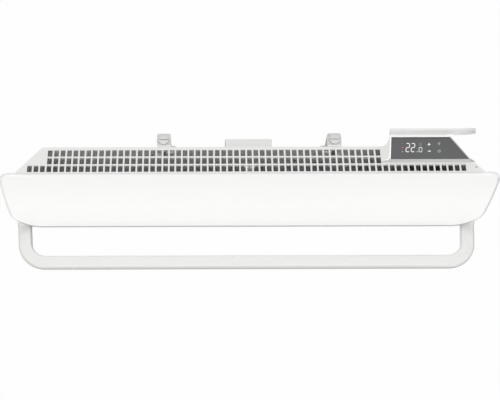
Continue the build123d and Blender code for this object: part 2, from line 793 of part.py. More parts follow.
def display_shape(inset):
    """Outline of the display in its sloping plane: local x along the heater, local -y down the slope."""
    side = (box_right_rim + inset) * sqrt(1 + box_slant ** 2)
    left = box_left + box_left_rim + inset
    right_back = box_right_back - side + inset * box_slant
    right_front = box_right_front - side - inset * box_slant
    front = -display_depth + inset
    return Polygon((left, front), (right_front, front), (right_back, -inset), (left, -inset), align=None)


def display_pocket(gap, depth):
    """Recess for the display glass."""
    return on_slope(display_shape(-gap), 1, depth + 1)


def display_window_cut():
    """Opening under the glass, through the sloping wall."""
    return on_slope(display_shape(glass_ledge), 0, 12)


def display_window():
    """Dark glass of the display, just under the rim."""
    return on_slope(display_shape(0), -glass_recess, glass_thickness)


def on_display(place):
    """A place given from the glass's left edge and down the slope."""
    across, down = place
    return Pos(box_left + box_left_rim + across, -down)


def display_board():
    """Circuit board under the glass."""
    under = glass_recess + glass_thickness + display_board_drop
    return on_slope(display_shape(display_board_margin), -under, board_thickness)


def digit_module():
    """Light-emitting digit block between the board and the glass."""
    under = glass_recess + glass_thickness + display_board_drop - digit_height
    return on_slope(on_display(digit_place) * Rectangle(digit_width, digit_depth), -under, digit_height)


def touch_springs():
    """Four sensing springs that press the touch keys' contacts against the glass."""
    springs = Part()
    under = glass_recess + glass_thickness + 0.05
    length = display_board_drop - 0.05
    for across in touch_columns:
        for down in touch_rows:
            springs += on_slope(on_display((across, down)) * Circle(touch_spring_radius), -under, length)
    return springs


def lid_edge(inset):
    """Outline of the lid in the display's plane, its left and right sides set in."""
    near = hinge_back - barrel_radius - lug_wall - barrel_clearance
    far = -display_depth - lid_front_gap
    side = (lid_clearance + lid_skirt_wall - inset) * sqrt(1 + box_slant ** 2)
    left = box_left - lid_clearance - lid_skirt_wall + inset
    return Polygon((left - lid_overhang + lid_skirt_wall, far), (box_right_back - box_slant * far + side, far),
                   (box_right_back - box_slant * near + side, near), (left, near), align=None)


def right_skirt_view():
    """Side view of the lid's right skirt: shallow at the hinge, so that it swings clear of the box's side."""
    corners = ((lid_heel_place, -lid_gap), (lid_heel_place, lid_heel), (lid_toe_place, lid_toe),
               (2 * display_depth, lid_toe), (2 * display_depth, -lid_gap))
    points = [rim_back + slope_across * down - slope_up * depth for down, depth in corners]
    view = Polygon(*[(point.Y, point.Z) for point in points], align=None)
    return extrude(Plane.YZ.offset(box_left) * view, amount=casing_front_width, dir=(1, 0, 0))


def control_lid():
    """Flip-up lid over the display with a skirt along each side, drawn shut and then turned open."""
    plan = lid_edge(0)
    plan = fillet(plan.vertices().sort_by(Axis.X)[-1], lid_tip_radius)
    leaf = on_slope(plan, lid_gap + lid_thickness, lid_thickness)
    edges = plan - lid_edge(lid_skirt_wall)
    left_half = Pos(box_left, 0) * Rectangle(box_width_back, 4 * display_depth)
    skirts = on_slope(edges & left_half, lid_gap, lid_skirt)
    skirts += on_slope(edges - left_half, lid_gap, lid_toe + lid_gap) & right_skirt_view()
    inner_left = box_left + lug_width + barrel_clearance
    inner_right = box_right(hinge.Y) - lug_width - barrel_clearance
    near = hinge_back - barrel_radius - lug_wall - barrel_clearance
    neck = Polygon((inner_left, near - 1), (inner_right, near - 1), (inner_right, hinge_back),
                   (inner_left, hinge_back), align=None)
    neck = on_slope(neck, 2 * hinge_rise - lid_gap, 2 * (hinge_rise - lid_gap))
    lid = leaf + skirts + neck + hinge_rod(barrel_radius, inner_left, inner_right)
    lid -= hinge_rod(pin_radius + pin_running, box_left - 5, box_right_back + 5)
    return lid.rotate(Axis((0, hinge.Y, hinge.Z), (1, 0, 0)), -lid_open)


def lid_hinge_pin():
    """Steel pin through the housing's lugs and the lid's barrel."""
    return hinge_rod(pin_radius, box_left + 0.5, box_right(hinge.Y) - 0.5)


def element_line(radius, start, end):
    """Round rod on the heating rod's axis."""
    return rod(radius, (start, element_y, element_height), (end, element_y, element_height))


def heating_element():
    """Aluminium extrusion round the heating rod: four splayed wings, each with cross fins."""
    core = Circle(element_core_radius)
    wing = Pos(0, (element_core_radius + element_wing) / 2) * Rectangle(element_wing_wall, element_wing)
    fin = Rectangle(element_fin, element_fin_wall)
    for step in range(element_fins):
        wing += Pos(0, element_core_radius + element_first_fin + step * element_fin_pitch) * fin
    for turn in (-element_splay, element_splay, 180 - element_splay, 180 + element_splay):
        core += wing.rotate(Axis.Z, turn)
    core -= Circle(rod_radius + rod_gap)
    plane = Plane(origin=(element_left, element_y, element_height), x_dir=(0, 1, 0), z_dir=(1, 0, 0))
    return extrude(plane * core, amount=element_right - element_left)


def heating_rod():
    """Sheathed rod through the element, with a terminal stud at its right end."""
    tip = element_right + rod_end
    sheath = element_line(rod_radius, element_left - rod_end, tip)
    return sheath + element_line(stud_radius, tip, tip + stud_length)


def rod_bushes():
    """Ceramic bushes that carry the rod in its two supports."""
    bushes = Part()
    for x, way in support_places():
        ring = element_line(bush_radius, x, x + way * bush_length)
        ring += element_line(bush_radius + bush_flange, x, x + way * bush_flange_thickness)
        bushes += ring - element_line(rod_radius + rod_gap, x - way, x + way * (bush_length + 1))
    return bushes


def support_places():
    """Where the two bushes start, with the way that each points."""
    return [(element_left - bush_standoff, -1), (element_right + bush_standoff, 1)]


def element_support(x, way):
    """Steel upright that carries one bush, with a foot on the casing's bottom."""
    near = x + way * (bush_flange_thickness + 0.1)
    far = near + way * support_sheet
    back = element_y + support_width / 2
    front = element_y - support_width / 2
    support = span(near, far, back, front, floor_z, element_height + support_top)
    support -= element_line(bush_radius + bush_play, near - way, far + way)
    return support + span(near, near + way * support_foot, back, front, floor_z, floor_z + support_sheet)


def partition():
    """Sheet wall that parts the hot chamber from the electronics."""
    top = shell_top - grille_skirt_depth - 1
    back = casing_back - sheet
    front = casing_front + sheet
    wall = span(partition_x, partition_x + partition_sheet, back, front, floor_z, top)
    return wall - element_line(partition_hole_radius, partition_x - 2, partition_x + 3)


def inner_baffle():
    """Sheet between the element and the front panel that keeps the panel cool."""
    y = casing_back - baffle_depth
    left = baffle_end_gap - end_x(y, sheet)
    wall = span(left, partition_x, y, y - baffle_sheet, floor_z, baffle_top)
    lip = span(left, partition_x, y, y - baffle_lip, baffle_top - baffle_sheet, baffle_top)
    foot = span(left, partition_x, y, casing_front + sheet, floor_z, floor_z + baffle_sheet)
    return wall + lip + foot


def power_board():
    """Main circuit board on stand-offs from the casing's back."""
    y = casing_back - sheet - standoff_height
    board = span(board_left, board_right, y, y - board_thickness, board_bottom, board_top)
    for x, z in board_corners():
        board -= rod(board_hole_radius, (x, y + 1, z), (x, y - board_thickness - 1, z))
    return board


def board_corners():
    """Places of the board's four stand-offs."""
    columns = (board_left + board_hole_inset, board_right - board_hole_inset)
    rows = (board_bottom + board_hole_inset, board_top - board_hole_inset)
    return [(x, z) for x in columns for z in rows]


def board_standoffs():
    """Stand-offs between the casing's back and the board."""
    posts = Part()
    for x, z in board_corners():
        y = casing_back - sheet
        posts += rod(standoff_radius, (x, y, z), (x, y - standoff_height, z))
    return posts


def board_face():
    """Depth of the board's front face."""
    return casing_back - sheet - standoff_height - board_thickness


def on_board(place, size):
    """Block on the board's front face, its middle given from the board's left edge and in height."""
    across, z = place
    width, depth, height = size
    x = board_left + across
    y = board_face()
    return span(x - width / 2, x + width / 2, y, y - depth, z - height / 2, z + height / 2)


def relay():
    """Switching relay."""
    return on_board(relay_place, relay_size)


def capacitor():
    """Suppression capacitor."""
    return on_board(capacitor_place, capacitor_size)


def terminal_block():
    """Screw terminals for the supply wires."""
    block = on_board(terminal_place, terminal_size)
    front = board_face() - terminal_size[1]
    z = terminal_place[1]
    for i in range(terminal_count):
        x = board_left + terminal_place[0] + (i - (terminal_count - 1) / 2) * terminal_pitch
        block -= rod(terminal_hole_radius, (x, front - 2, z), (x, front + terminal_hole_depth, z))
    return block


def cable_gland():
    """Gland in the casing's back, where the supply cable comes in."""
    out = casing_back + gland_tail
    body = gland_rod(gland_flange, casing_back, casing_back + gland_flange_thickness)
    body += gland_rod(gland_radius, casing_back - sheet - gland_inside, out)
    return body - gland_rod(gland_bore, casing_back - 20, out + 1)


def gland_rod(radius, back, front):
    """Round rod on the gland's axis."""
    return rod(radius, (gland_x, back, gland_height), (gland_x, front, gland_height))


def gland_nut():
    """Lock nut behind the gland."""
    plane = Plane(origin=(gland_x, casing_back - sheet, gland_height), z_dir=(0, -1, 0))
    nut = RegularPolygon(gland_nut_size, 6) - Circle(gland_radius + 0.05)
    return extrude(plane * nut, amount=gland_nut_thickness)


def cutout_bracket():
    """Bent strip on the casing's back that holds the overheat cut-out over the element."""
    y = casing_back - sheet
    z = element_height + cutout_height
    left = cutout_x - cutout_strip_width / 2
    right = cutout_x + cutout_strip_width / 2
    inner = y - cutout_strip_sheet
    strip = span(left, right, y, inner, z, z + cutout_strip_height)
    return strip + span(left, right, inner, inner - cutout_strip_reach, z, z + cutout_strip_sheet)


def overheat_cutout():
    """Disc thermostat under the strip."""
    y = casing_back - sheet - cutout_depth
    z = element_height + cutout_height
    body = rod(cutout_radius, (cutout_x, y, z), (cutout_x, y, z - cutout_thickness))
    low = z - cutout_thickness - cutout_tab_length
    for side in (-1, 1):
        x = cutout_x + side * cutout_tab_width * 0.7
        half = cutout_tab_width / 2
        thin = cutout_tab_sheet / 2
        body += span(x - half, x + half, y - thin, y + thin, low, z - cutout_thickness)
    return body


def grille_stay():
    """White bent strip from the baffle up to the grille's middle, with a screw hole in its top."""
    y = row_depth(1.5) + stay_lead
    top = shell_top - grille_rib_depth
    front = y - stay_seat
    seat = span(-stay_width / 2, stay_width / 2, y, front, top - stay_sheet, top)
    seat = chamfer(seat.edges().filter_by(Axis.Z).group_by(Axis.Y)[0], stay_corner)
    hole_y = row_depth(1.5) - stay_hole_lead
    seat -= rod(stay_hole_radius, (0, hole_y, top - 5), (0, hole_y, top + 1))
    inner = stay_width / 2 - stay_corner
    web = span(-inner, inner, front + stay_sheet, front, stay_foot_height, top - stay_sheet)
    baffle = casing_back - baffle_depth
    foot = span(-inner, inner, front + stay_sheet, baffle, stay_foot_height - stay_sheet, stay_foot_height)
    return seat + web + foot


def room_sensor():
    """Temperature probe in a small holder above the intake slots."""
    back = casing_back - sensor_depth + sensor_foot / 2
    front = back - sensor_foot
    half = sensor_width / 2
    z = floor_z + sensor_foot / 2
    holder = span(sensor_x - half, sensor_x + half, back, front, floor_z, floor_z + sensor_foot)
    return holder + rod(sensor_probe_radius, (sensor_x, front - sensor_probe_length, z), (sensor_x, front, z))


def grille_screw():
    """Small screw that fixes the grille's right end."""
    y = casing_back - end_screw_depth
    top = casing_top + end_screw_height
    x = end_x(y, end_screw_margin)
    return rod(end_screw_radius, (x, y, casing_top), (x, y, top))


def left_and_right(name, piece):
    """Write a right-hand piece and its mirror image under their own names."""
    return {"right_" + name: piece, "left_" + name: mirror(piece, about=Plane.YZ)}


def all_pieces():
    """Every node's solid under its name."""
    pieces = {
        "wall_bracket": wall_bracket(),
        "rear_casing": rear_casing(),
        "top_grille": top_grille(),
        "front_panel": front_panel(),
        "panel_clips": panel_clips(),
        "grille_stay": grille_stay(),
        "towel_bar": towel_bar(),
        "socket_screws": socket_screws(),
        "control_housing": control_housing(),
        "display_window": display_window(),
        "display_board": display_board(),
        "digit_module": digit_module(),
        "touch_springs": touch_springs(),
        "control_lid": control_lid(),
        "lid_hinge_pin": lid_hinge_pin(),
        "heating_element": heating_element(),
        "heating_rod": heating_rod(),
        "rod_bushes": rod_bushes(),
        "left_element_support": element_support(*support_places()[0]),
        "right_element_support": element_support(*support_places()[1]),
        "partition": partition(),
        "inner_baffle": inner_baffle(),
        "power_board": power_board(),
        "board_standoffs": board_standoffs(),
        "relay": relay(),
        "capacitor": capacitor(),
        "terminal_block": terminal_block(),
        "cable_gland": cable_gland(),
        "gland_nut": gland_nut(),
        "cutout_bracket": cutout_bracket(),
        "overheat_cutout": overheat_cutout(),
        "room_sensor": room_sensor(),
        "grille_screw": grille_screw(),
    }
    pieces.update(left_and_right("lock_housing", lock_housing()))
    pieces.update(left_and_right("lock_knob", lock_knob()))
    pieces.update(left_and_right("lock_cam", lock_cam()))
    pieces.update(left_and_right("lock_clip", lock_clip()))
    pieces.update(left_and_right("bar_socket", bar_socket()))
    return pieces


os.makedirs("parts", exist_ok=True)
for name, piece in all_pieces().items():
    export_step(piece, "parts/" + name + ".step")
    print(name, round(piece.volume, 1))
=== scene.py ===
from math import cos, pi, radians, sin, tan

import bmesh
import bpy
import numpy as np
from mathutils import Matrix, Vector


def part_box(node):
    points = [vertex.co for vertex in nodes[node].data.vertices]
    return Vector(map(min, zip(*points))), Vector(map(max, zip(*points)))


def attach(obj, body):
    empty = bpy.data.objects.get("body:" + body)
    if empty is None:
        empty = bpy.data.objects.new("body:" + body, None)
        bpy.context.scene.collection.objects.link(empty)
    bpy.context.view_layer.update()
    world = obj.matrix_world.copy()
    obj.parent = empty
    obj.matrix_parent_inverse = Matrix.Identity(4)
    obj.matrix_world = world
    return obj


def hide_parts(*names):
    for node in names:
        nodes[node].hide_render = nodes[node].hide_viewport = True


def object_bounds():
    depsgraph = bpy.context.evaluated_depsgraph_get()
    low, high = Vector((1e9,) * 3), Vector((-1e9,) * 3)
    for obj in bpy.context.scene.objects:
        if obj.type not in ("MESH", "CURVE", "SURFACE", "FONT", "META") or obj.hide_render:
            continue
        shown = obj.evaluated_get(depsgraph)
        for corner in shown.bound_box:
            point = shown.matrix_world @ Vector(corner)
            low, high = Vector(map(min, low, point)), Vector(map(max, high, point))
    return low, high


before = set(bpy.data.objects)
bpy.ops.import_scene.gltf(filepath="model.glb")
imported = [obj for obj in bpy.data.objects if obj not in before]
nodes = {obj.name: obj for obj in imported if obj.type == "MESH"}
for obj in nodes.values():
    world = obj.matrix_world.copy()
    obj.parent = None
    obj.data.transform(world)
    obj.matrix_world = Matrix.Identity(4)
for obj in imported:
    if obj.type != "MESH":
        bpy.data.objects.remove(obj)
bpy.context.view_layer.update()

# White convector heater with a towel bar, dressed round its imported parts. Metres, +Z up, -Y the front.
mm = 0.001
mergeGap = 1e-6                                   # corners closer than this are one
flatAngle = radians(0.6)                          # faces that differ by less lie in one plane
heaterBody = "heater"
lidBody = "lid"
leftLockBody = "left_lock"
rightLockBody = "right_lock"
print("frame:", len(nodes), "nodes")


# Meshes

def ringFaces(rings, count):
    # quads between neighbouring rings of a grid, with each ring's last point joined to its first
    numbers = np.arange(rings * count).reshape(rings, count)
    numbers = np.hstack([numbers, numbers[:, :1]])
    quads = [numbers[:-1, :-1], numbers[:-1, 1:], numbers[1:, 1:], numbers[1:, :-1]]
    return np.stack(quads, axis=-1).reshape(-1, 4).tolist()


def closedMesh(name, points, faces, shade=None):
    # one mesh with its seams and poles merged and its faces turned outwards; its painted shade is kept
    # per point
    mesh = bpy.data.meshes.new(name)
    mesh.from_pydata(np.asarray(points).reshape(-1, 3).tolist(), [], faces)
    if shade is not None:
        mesh.attributes.new("underShade", "FLOAT", "POINT").data.foreach_set("value", np.ravel(shade))
    shell = bmesh.new()
    shell.from_mesh(mesh)
    bmesh.ops.remove_doubles(shell, verts=shell.verts, dist=mergeGap)
    bmesh.ops.recalc_face_normals(shell, faces=shell.faces)
    shell.to_mesh(mesh)
    shell.free()
    return mesh


def addPiece(name, mesh, body, surface, replaced=(), sharpAngle=35):
    # a finished piece: smooth between its sharp edges, riding on its body
    mesh.shade_smooth()
    mesh.set_sharp_from_angle(angle=radians(sharpAngle))
    mesh.materials.clear()
    mesh.materials.append(surface)
    piece = bpy.data.objects.new(name, mesh)
    bpy.context.scene.collection.objects.link(piece)
    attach(piece, body)
    if replaced:
        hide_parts(*replaced)
    return piece


lipForm = {
    "reach": 3 * mm,                               # how far each end of the lip is drawn out
    "endX": (42 * mm, 43 * mm),                    # the right end's corners lie between these places
    "endY": (-21 * mm, -1.9 * mm),
    "endZ": (65 * mm, 69 * mm),
}


def widenLip(shell):
    # draws both ends of the bracket's middle lip out towards the width of its tab
    (nearX, farX), (frontY, backY), (lowZ, highZ) = (lipForm[key] for key in ("endX", "endY", "endZ"))
    for vert in shell.verts:
        x, y, z = vert.co
        if nearX < abs(x) < farX and frontY < y < backY and lowZ < z < highZ:
            vert.co.x += lipForm["reach"] if x > 0 else -lipForm["reach"]


edgeForm = {
    "segments": 3,
    "angle": 35,                                   # degrees; edges sharper than this are rounded
}


def softenNode(name, node, body, surface, edgeRadius):
    # a CAD node's copy, merged, with the small round edges of a moulding or of coated sheet
    mesh = nodes[node].data.copy()
    shell = bmesh.new()
    shell.from_mesh(mesh)
    bmesh.ops.remove_doubles(shell, verts=shell.verts, dist=mergeGap)
    if node == "wall_bracket":
        widenLip(shell)
    bmesh.ops.dissolve_limit(shell, angle_limit=flatAngle, verts=shell.verts, edges=shell.edges)
    shell.to_mesh(mesh)
    shell.free()
    piece = addPiece(name, mesh, body, surface, (node,), edgeForm["angle"])
    bevel = piece.modifiers.new("roundEdges", "BEVEL")
    bevel.width = edgeRadius
    bevel.segments = edgeForm["segments"]
    bevel.limit_method = "ANGLE"
    bevel.angle_limit = radians(edgeForm["angle"])
    bevel.use_clamp_overlap = True
    bevel.harden_normals = True
    return piece


# Shader groups

def addNode(tree, kind, values=None, **settings):
    # a shader node with its settings, and with fixed values on the inputs named or numbered
    node = tree.nodes.new("ShaderNode" + kind)
    for label, setting in settings.items():
        setattr(node, label, setting)
    for socket, value in (values or {}).items():
        node.inputs[socket].default_value = value
    return node


def newGroup(name, inputs, outputs):
    # a node group with named sockets: inputs as (name, kind, value), outputs as (name, kind)
    group = bpy.data.node_groups.new(name, "ShaderNodeTree")
    for label, kind, value in inputs:
        socket = group.interface.new_socket(label, in_out="INPUT", socket_type="NodeSocket" + kind)
        if value is not None:
            socket.default_value = value
    for label, kind in outputs:
        group.interface.new_socket(label, in_out="OUTPUT", socket_type="NodeSocket" + kind)
    return group, group.nodes.new("NodeGroupInput"), group.nodes.new("NodeGroupOutput")


def buildGrain():
    # fine even grain of moulded plastic or powder coat, as a normal; Stretch draws it out along X
    inputs = [("Scale", "Float", 900.0), ("Height", "Float", 0.00002), ("Stretch", "Float", 1.0)]
    group, given, result = newGroup("surfaceGrain", inputs, [("Normal", "Vector")])
    place = addNode(group, "TexCoord")
    stretch = addNode(group, "CombineXYZ", {1: 1.0, 2: 1.0})
    scaled = addNode(group, "VectorMath", operation="MULTIPLY")
    noise = addNode(group, "TexNoise", {"Detail": 3.0})
    bump = addNode(group, "Bump", {"Strength": 1.0})
    link = group.links.new
    link(given.outputs["Stretch"], stretch.inputs[0])
    link(place.outputs["Object"], scaled.inputs[0])
    link(stretch.outputs[0], scaled.inputs[1])
    link(scaled.outputs[0], noise.inputs["Vector"])
    link(given.outputs["Scale"], noise.inputs["Scale"])
    link(noise.outputs["Fac"], bump.inputs["Height"])
    link(given.outputs["Height"], bump.inputs["Distance"])
    link(bump.outputs["Normal"], result.inputs["Normal"])
    return group


def buildTone():
    # slow drift of a colour between two shades, with a fine mottle over it
    inputs = [("Light", "Color", None), ("Dark", "Color", None), ("Scale", "Float", 6.0),
              ("Mottle", "Float", 0.3)]
    group, given, result = newGroup("slowTone", inputs, [("Color", "Color")])
    place = addNode(group, "TexCoord")
    slow = addNode(group, "TexNoise", {"Detail": 2.0})
    fine = addNode(group, "TexNoise", {"Scale": 260.0})
    blend = addNode(group, "Mix", data_type="FLOAT")
    mix = addNode(group, "Mix", data_type="RGBA")
    link = group.links.new
    link(place.outputs["Object"], slow.inputs["Vector"])
    link(place.outputs["Object"], fine.inputs["Vector"])
    link(given.outputs["Scale"], slow.inputs["Scale"])
    link(given.outputs["Mottle"], blend.inputs[0])
    link(slow.outputs["Fac"], blend.inputs[2])
    link(fine.outputs["Fac"], blend.inputs[3])
    link(blend.outputs[0], mix.inputs[0])
    link(given.outputs["Light"], mix.inputs[6])
    link(given.outputs["Dark"], mix.inputs[7])
    link(mix.outputs[2], result.inputs["Color"])
    return group


def buildSmear():
    # roughness that wanders a little, as wiped plastic and glass do
    inputs = [("Low", "Float", 0.3), ("High", "Float", 0.4), ("Scale", "Float", 14.0)]
    group, given, result = newGroup("wipedSheen", inputs, [("Roughness", "Float")])
    place = addNode(group, "TexCoord")
    noise = addNode(group, "TexNoise", {"Detail": 4.0, "Distortion": 0.6})
    blend = addNode(group, "Mix", data_type="FLOAT")
    link = group.links.new
    link(place.outputs["Object"], noise.inputs["Vector"])
    link(given.outputs["Scale"], noise.inputs["Scale"])
    link(noise.outputs["Fac"], blend.inputs[0])
    link(given.outputs["Low"], blend.inputs[2])
    link(given.outputs["High"], blend.inputs[3])
    link(blend.outputs[0], result.inputs["Roughness"])
    return group


def buildShade():
    # painted shade: a colour that falls towards a deeper one where the piece's underShade attribute rises
    inputs = [("Color", "Color", None), ("Deep", "Color", None), ("Strength", "Float", 0.5)]
    group, given, result = newGroup("softShade", inputs, [("Color", "Color")])
    share = addNode(group, "Attribute", attribute_name="underShade")
    amount = addNode(group, "Math", operation="MULTIPLY")
    mix = addNode(group, "Mix", data_type="RGBA")
    link = group.links.new
    link(share.outputs["Fac"], amount.inputs[0])
    link(given.outputs["Strength"], amount.inputs[1])
    link(amount.outputs[0], mix.inputs[0])
    link(given.outputs["Color"], mix.inputs[6])
    link(given.outputs["Deep"], mix.inputs[7])
    link(mix.outputs[2], result.inputs["Color"])
    return group


grainGroup = buildGrain()
toneGroup = buildTone()
smearGroup = buildSmear()
shadeGroup = buildShade()


# Materials

finishes = {
    # name: light shade, dark shade, roughness low and high, grains per metre, grain height in metres
    "panelMoulding": ((0.915, 0.915, 0.908), (0.90, 0.90, 0.895), 0.30, 0.38, 220, 0.00003),
    "casingPowder": ((0.90, 0.90, 0.892), (0.885, 0.885, 0.88), 0.40, 0.52, 900, 0.00006),
    "grilleMoulding": ((0.93, 0.93, 0.915), (0.91, 0.91, 0.90), 0.36, 0.46, 1400, 0.00003),
    "housingMoulding": ((0.91, 0.91, 0.905), (0.89, 0.89, 0.885), 0.36, 0.46, 1400, 0.00003),
    # the housing's white, darkened as painted shade over the lid's face
    "lidShadedMoulding": ((0.83, 0.83, 0.825), (0.80, 0.80, 0.795), 0.40, 0.50, 1400, 0.00003),
    "barEnamel": ((0.90, 0.90, 0.885), (0.885, 0.885, 0.87), 0.22, 0.30, 160, 0.00004),
    "socketMoulding": ((0.88, 0.88, 0.865), (0.865, 0.865, 0.85), 0.42, 0.52, 1400, 0.00003),
    "bracketPowder": ((0.96, 0.96, 0.955), (0.94, 0.94, 0.935), 0.42, 0.55, 900, 0.00006),
    "lockMoulding": ((0.78, 0.78, 0.77), (0.74, 0.74, 0.73), 0.40, 0.50, 1600, 0.00003),
    "knobMoulding": ((0.80, 0.80, 0.79), (0.77, 0.77, 0.76), 0.40, 0.50, 1600, 0.00003),
    "boardLacquer": ((0.035, 0.16, 0.07), (0.02, 0.11, 0.05), 0.30, 0.42, 700, 0.00004),
    "blackMoulding": ((0.025, 0.025, 0.027), (0.018, 0.018, 0.02), 0.40, 0.52, 1500, 0.00004),
    "greyMoulding": ((0.36, 0.37, 0.38), (0.32, 0.33, 0.34), 0.42, 0.54, 1500, 0.00004),
    "ceramicBush": ((0.82, 0.79, 0.71), (0.76, 0.73, 0.65), 0.55, 0.70, 1100, 0.00005),
}
metals = {
    # the same, and the grain's stretch along X
    "zincSheet": ((0.52, 0.54, 0.56), (0.42, 0.44, 0.47), 0.32, 0.50, 120, 0.00004, 1.0),
    "brightSteel": ((0.70, 0.70, 0.71), (0.62, 0.62, 0.63), 0.22, 0.32, 900, 0.00002, 0.2),
    # the element's aluminium, darkened as painted shade for the fins seen deep in the casing
    "shadedAluminium": ((0.58, 0.59, 0.60), (0.50, 0.51, 0.52), 0.30, 0.42, 1300, 0.00003, 0.03),
}


def addGroup(material, group, values):
    # a node group placed in a material, with that material's own values
    return addNode(material.node_tree, "Group", values, node_tree=group)


def newMaterial(name):
    # a material and its shader
    material = bpy.data.materials.new(name)
    material.use_nodes = True
    return material, material.node_tree.nodes["Principled BSDF"]


def coatedMaterial(name, light, dark, low, high, grainScale, grainHeight, stretch=1.0, metallic=0.0):
    # drifting colour, wandering sheen and fine grain on one shader
    material, shader = newMaterial(name)
    tone = addGroup(material, toneGroup, {"Light": (*light, 1), "Dark": (*dark, 1)})
    sheen = addGroup(material, smearGroup, {"Low": low, "High": high})
    values = {"Scale": grainScale, "Height": grainHeight, "Stretch": stretch}
    grain = addGroup(material, grainGroup, values)
    link = material.node_tree.links.new
    link(tone.outputs["Color"], shader.inputs["Base Color"])
    link(sheen.outputs["Roughness"], shader.inputs["Roughness"])
    link(grain.outputs["Normal"], shader.inputs["Normal"])
    shader.inputs["Metallic"].default_value = metallic
    return material


def baseColor(material):
    # the shader's colour socket, and what feeds it so far
    socket = material.node_tree.nodes["Principled BSDF"].inputs["Base Color"]
    return socket, socket.links[0].from_socket


def shadeUnder(material, strength, deep):
    # lets a material's colour deepen into painted shade where the piece's underShade attribute rises
    socket, color = baseColor(material)
    shade = addGroup(material, shadeGroup, {"Deep": (*deep, 1), "Strength": strength})
    link = material.node_tree.links.new
    link(color, shade.inputs["Color"])
    link(shade.outputs["Color"], socket)


def paintedShadeAlong(material, way, start, end, deep):
    # mixes a deeper colour, as painted shade, in between two distances along a direction of the piece, in
    # metres
    tree = material.node_tree
    socket, color = baseColor(material)
    place = addNode(tree, "TexCoord")
    distance = addNode(tree, "VectorMath", {1: way}, operation="DOT_PRODUCT")
    ramp = addNode(tree, "MapRange", {"From Min": start, "From Max": end})
    mix = addNode(tree, "Mix", {7: (*deep, 1)}, data_type="RGBA")
    link = tree.links.new
    link(place.outputs["Object"], distance.inputs[0])
    link(distance.outputs["Value"], ramp.inputs["Value"])
    link(ramp.outputs["Result"], mix.inputs[0])
    link(color, mix.inputs[6])
    link(mix.outputs[2], socket)


softShades = {
    # finish: strength, and colour where the piece's painted shade is full
    "panelMoulding": (0.9, (0.22, 0.22, 0.22)),
    "barEnamel": (0.88, (0.18, 0.18, 0.18)),
}
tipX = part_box("control_lid")[1][0]
slopedEnd = (0.7675, 0.641, 0)                    # across the housing's slanted right side, out of it
paintedShadeBands = [
    # finish, direction, where along it the painted shade starts and is full, its colour
    # painted shade over the housing's front wall, along its slanted right edge, towards the lid's tip and
    # round the knobs' lower sides
    ("housingMoulding", (0, -1, 0), 65.0 * mm, 65.6 * mm, (0.50, 0.50, 0.50)),
    ("housingMoulding", slopedEnd, 273.0 * mm, 274.4 * mm, (0.50, 0.50, 0.50)),
    ("lidShadedMoulding", (1, 0, 0), tipX - 30 * mm, tipX - 3 * mm, (0.66, 0.66, 0.655)),
    ("knobMoulding", (0, 0, -1), -92.7 * mm, -92.1 * mm, (0.42, 0.42, 0.42)),
]
coats = {"panelMoulding": 0.15, "barEnamel": 0.3}             # weight of each gloss coat


glassForm = {
    "light": (0.102, 0.104, 0.107),
    "dark": (0.088, 0.09, 0.092),
    "drift": 30,                # its tone's drifts per metre
    "streaks": 60,              # and its wiped streaks
    "roughness": (0.16, 0.24),
    "coat": 0.3,
    "coatRoughness": 0.08,
    "shadeFrom": 118.6 * mm,    # height from which a painted shadow of the lid darkens it towards its upper edge
    "shadeTo": 120.4 * mm,
    "shade": (0.05, 0.05, 0.052),
}


def displayGlassMaterial():
    # smoked glass: dark grey with a faint drift, smooth with wiped streaks, and a painted shadow of the
    # lid along its upper edge
    form = glassForm
    material, shader = newMaterial("smokedGlass")
    low, high = form["roughness"]
    greys = {"Light": (*form["light"], 1), "Dark": (*form["dark"], 1), "Scale": form["drift"]}
    tone = addGroup(material, toneGroup, greys)
    sheen = addGroup(material, smearGroup, {"Low": low, "High": high, "Scale": form["streaks"]})
    link = material.node_tree.links.new
    link(tone.outputs["Color"], shader.inputs["Base Color"])
    link(sheen.outputs["Roughness"], shader.inputs["Roughness"])
    shader.inputs["Coat Weight"].default_value = form["coat"]
    shader.inputs["Coat Roughness"].default_value = form["coatRoughness"]
    paintedShadeAlong(material, (0, 0, 1), form["shadeFrom"], form["shadeTo"], form["shade"])
    return material


litForm = {
    "drift": 220,               # the glow's drifts per metre
    "farShade": 0.85,           # share of its colour where it glows least
    "unlitShade": 0.3,          # share of its colour as plain paint
    "roughness": 0.4,
}


def litMaterial(name, color, strength):
    # a lit mark seen through the glass: its glow falls off a little over its face
    form = litForm
    material, shader = newMaterial(name)
    far, unlit = ((*[part * form[share] for part in color], 1) for share in ("farShade", "unlitShade"))
    tone = addGroup(material, toneGroup, {"Light": (*color, 1), "Dark": far, "Scale": form["drift"]})
    link = material.node_tree.links.new
    link(tone.outputs["Color"], shader.inputs["Emission Color"])
    shader.inputs["Emission Strength"].default_value = strength
    shader.inputs["Base Color"].default_value = unlit
    shader.inputs["Roughness"].default_value = form["roughness"]
    return material


surfaces = {name: coatedMaterial(name, *values) for name, values in finishes.items()}
for name, values in metals.items():
    surfaces[name] = coatedMaterial(name, *values, metallic=1.0)
for name, (strength, deep) in softShades.items():
    shadeUnder(surfaces[name], strength, deep)
for name, way, start, end, deep in paintedShadeBands:
    paintedShadeAlong(surfaces[name], way, start, end, deep)
for name, weight in coats.items():
    surfaces[name].node_tree.nodes["Principled BSDF"].inputs["Coat Weight"].default_value = weight
surfaces["smokedGlass"] = displayGlassMaterial()
print("materials:", len(surfaces))


# Front panel

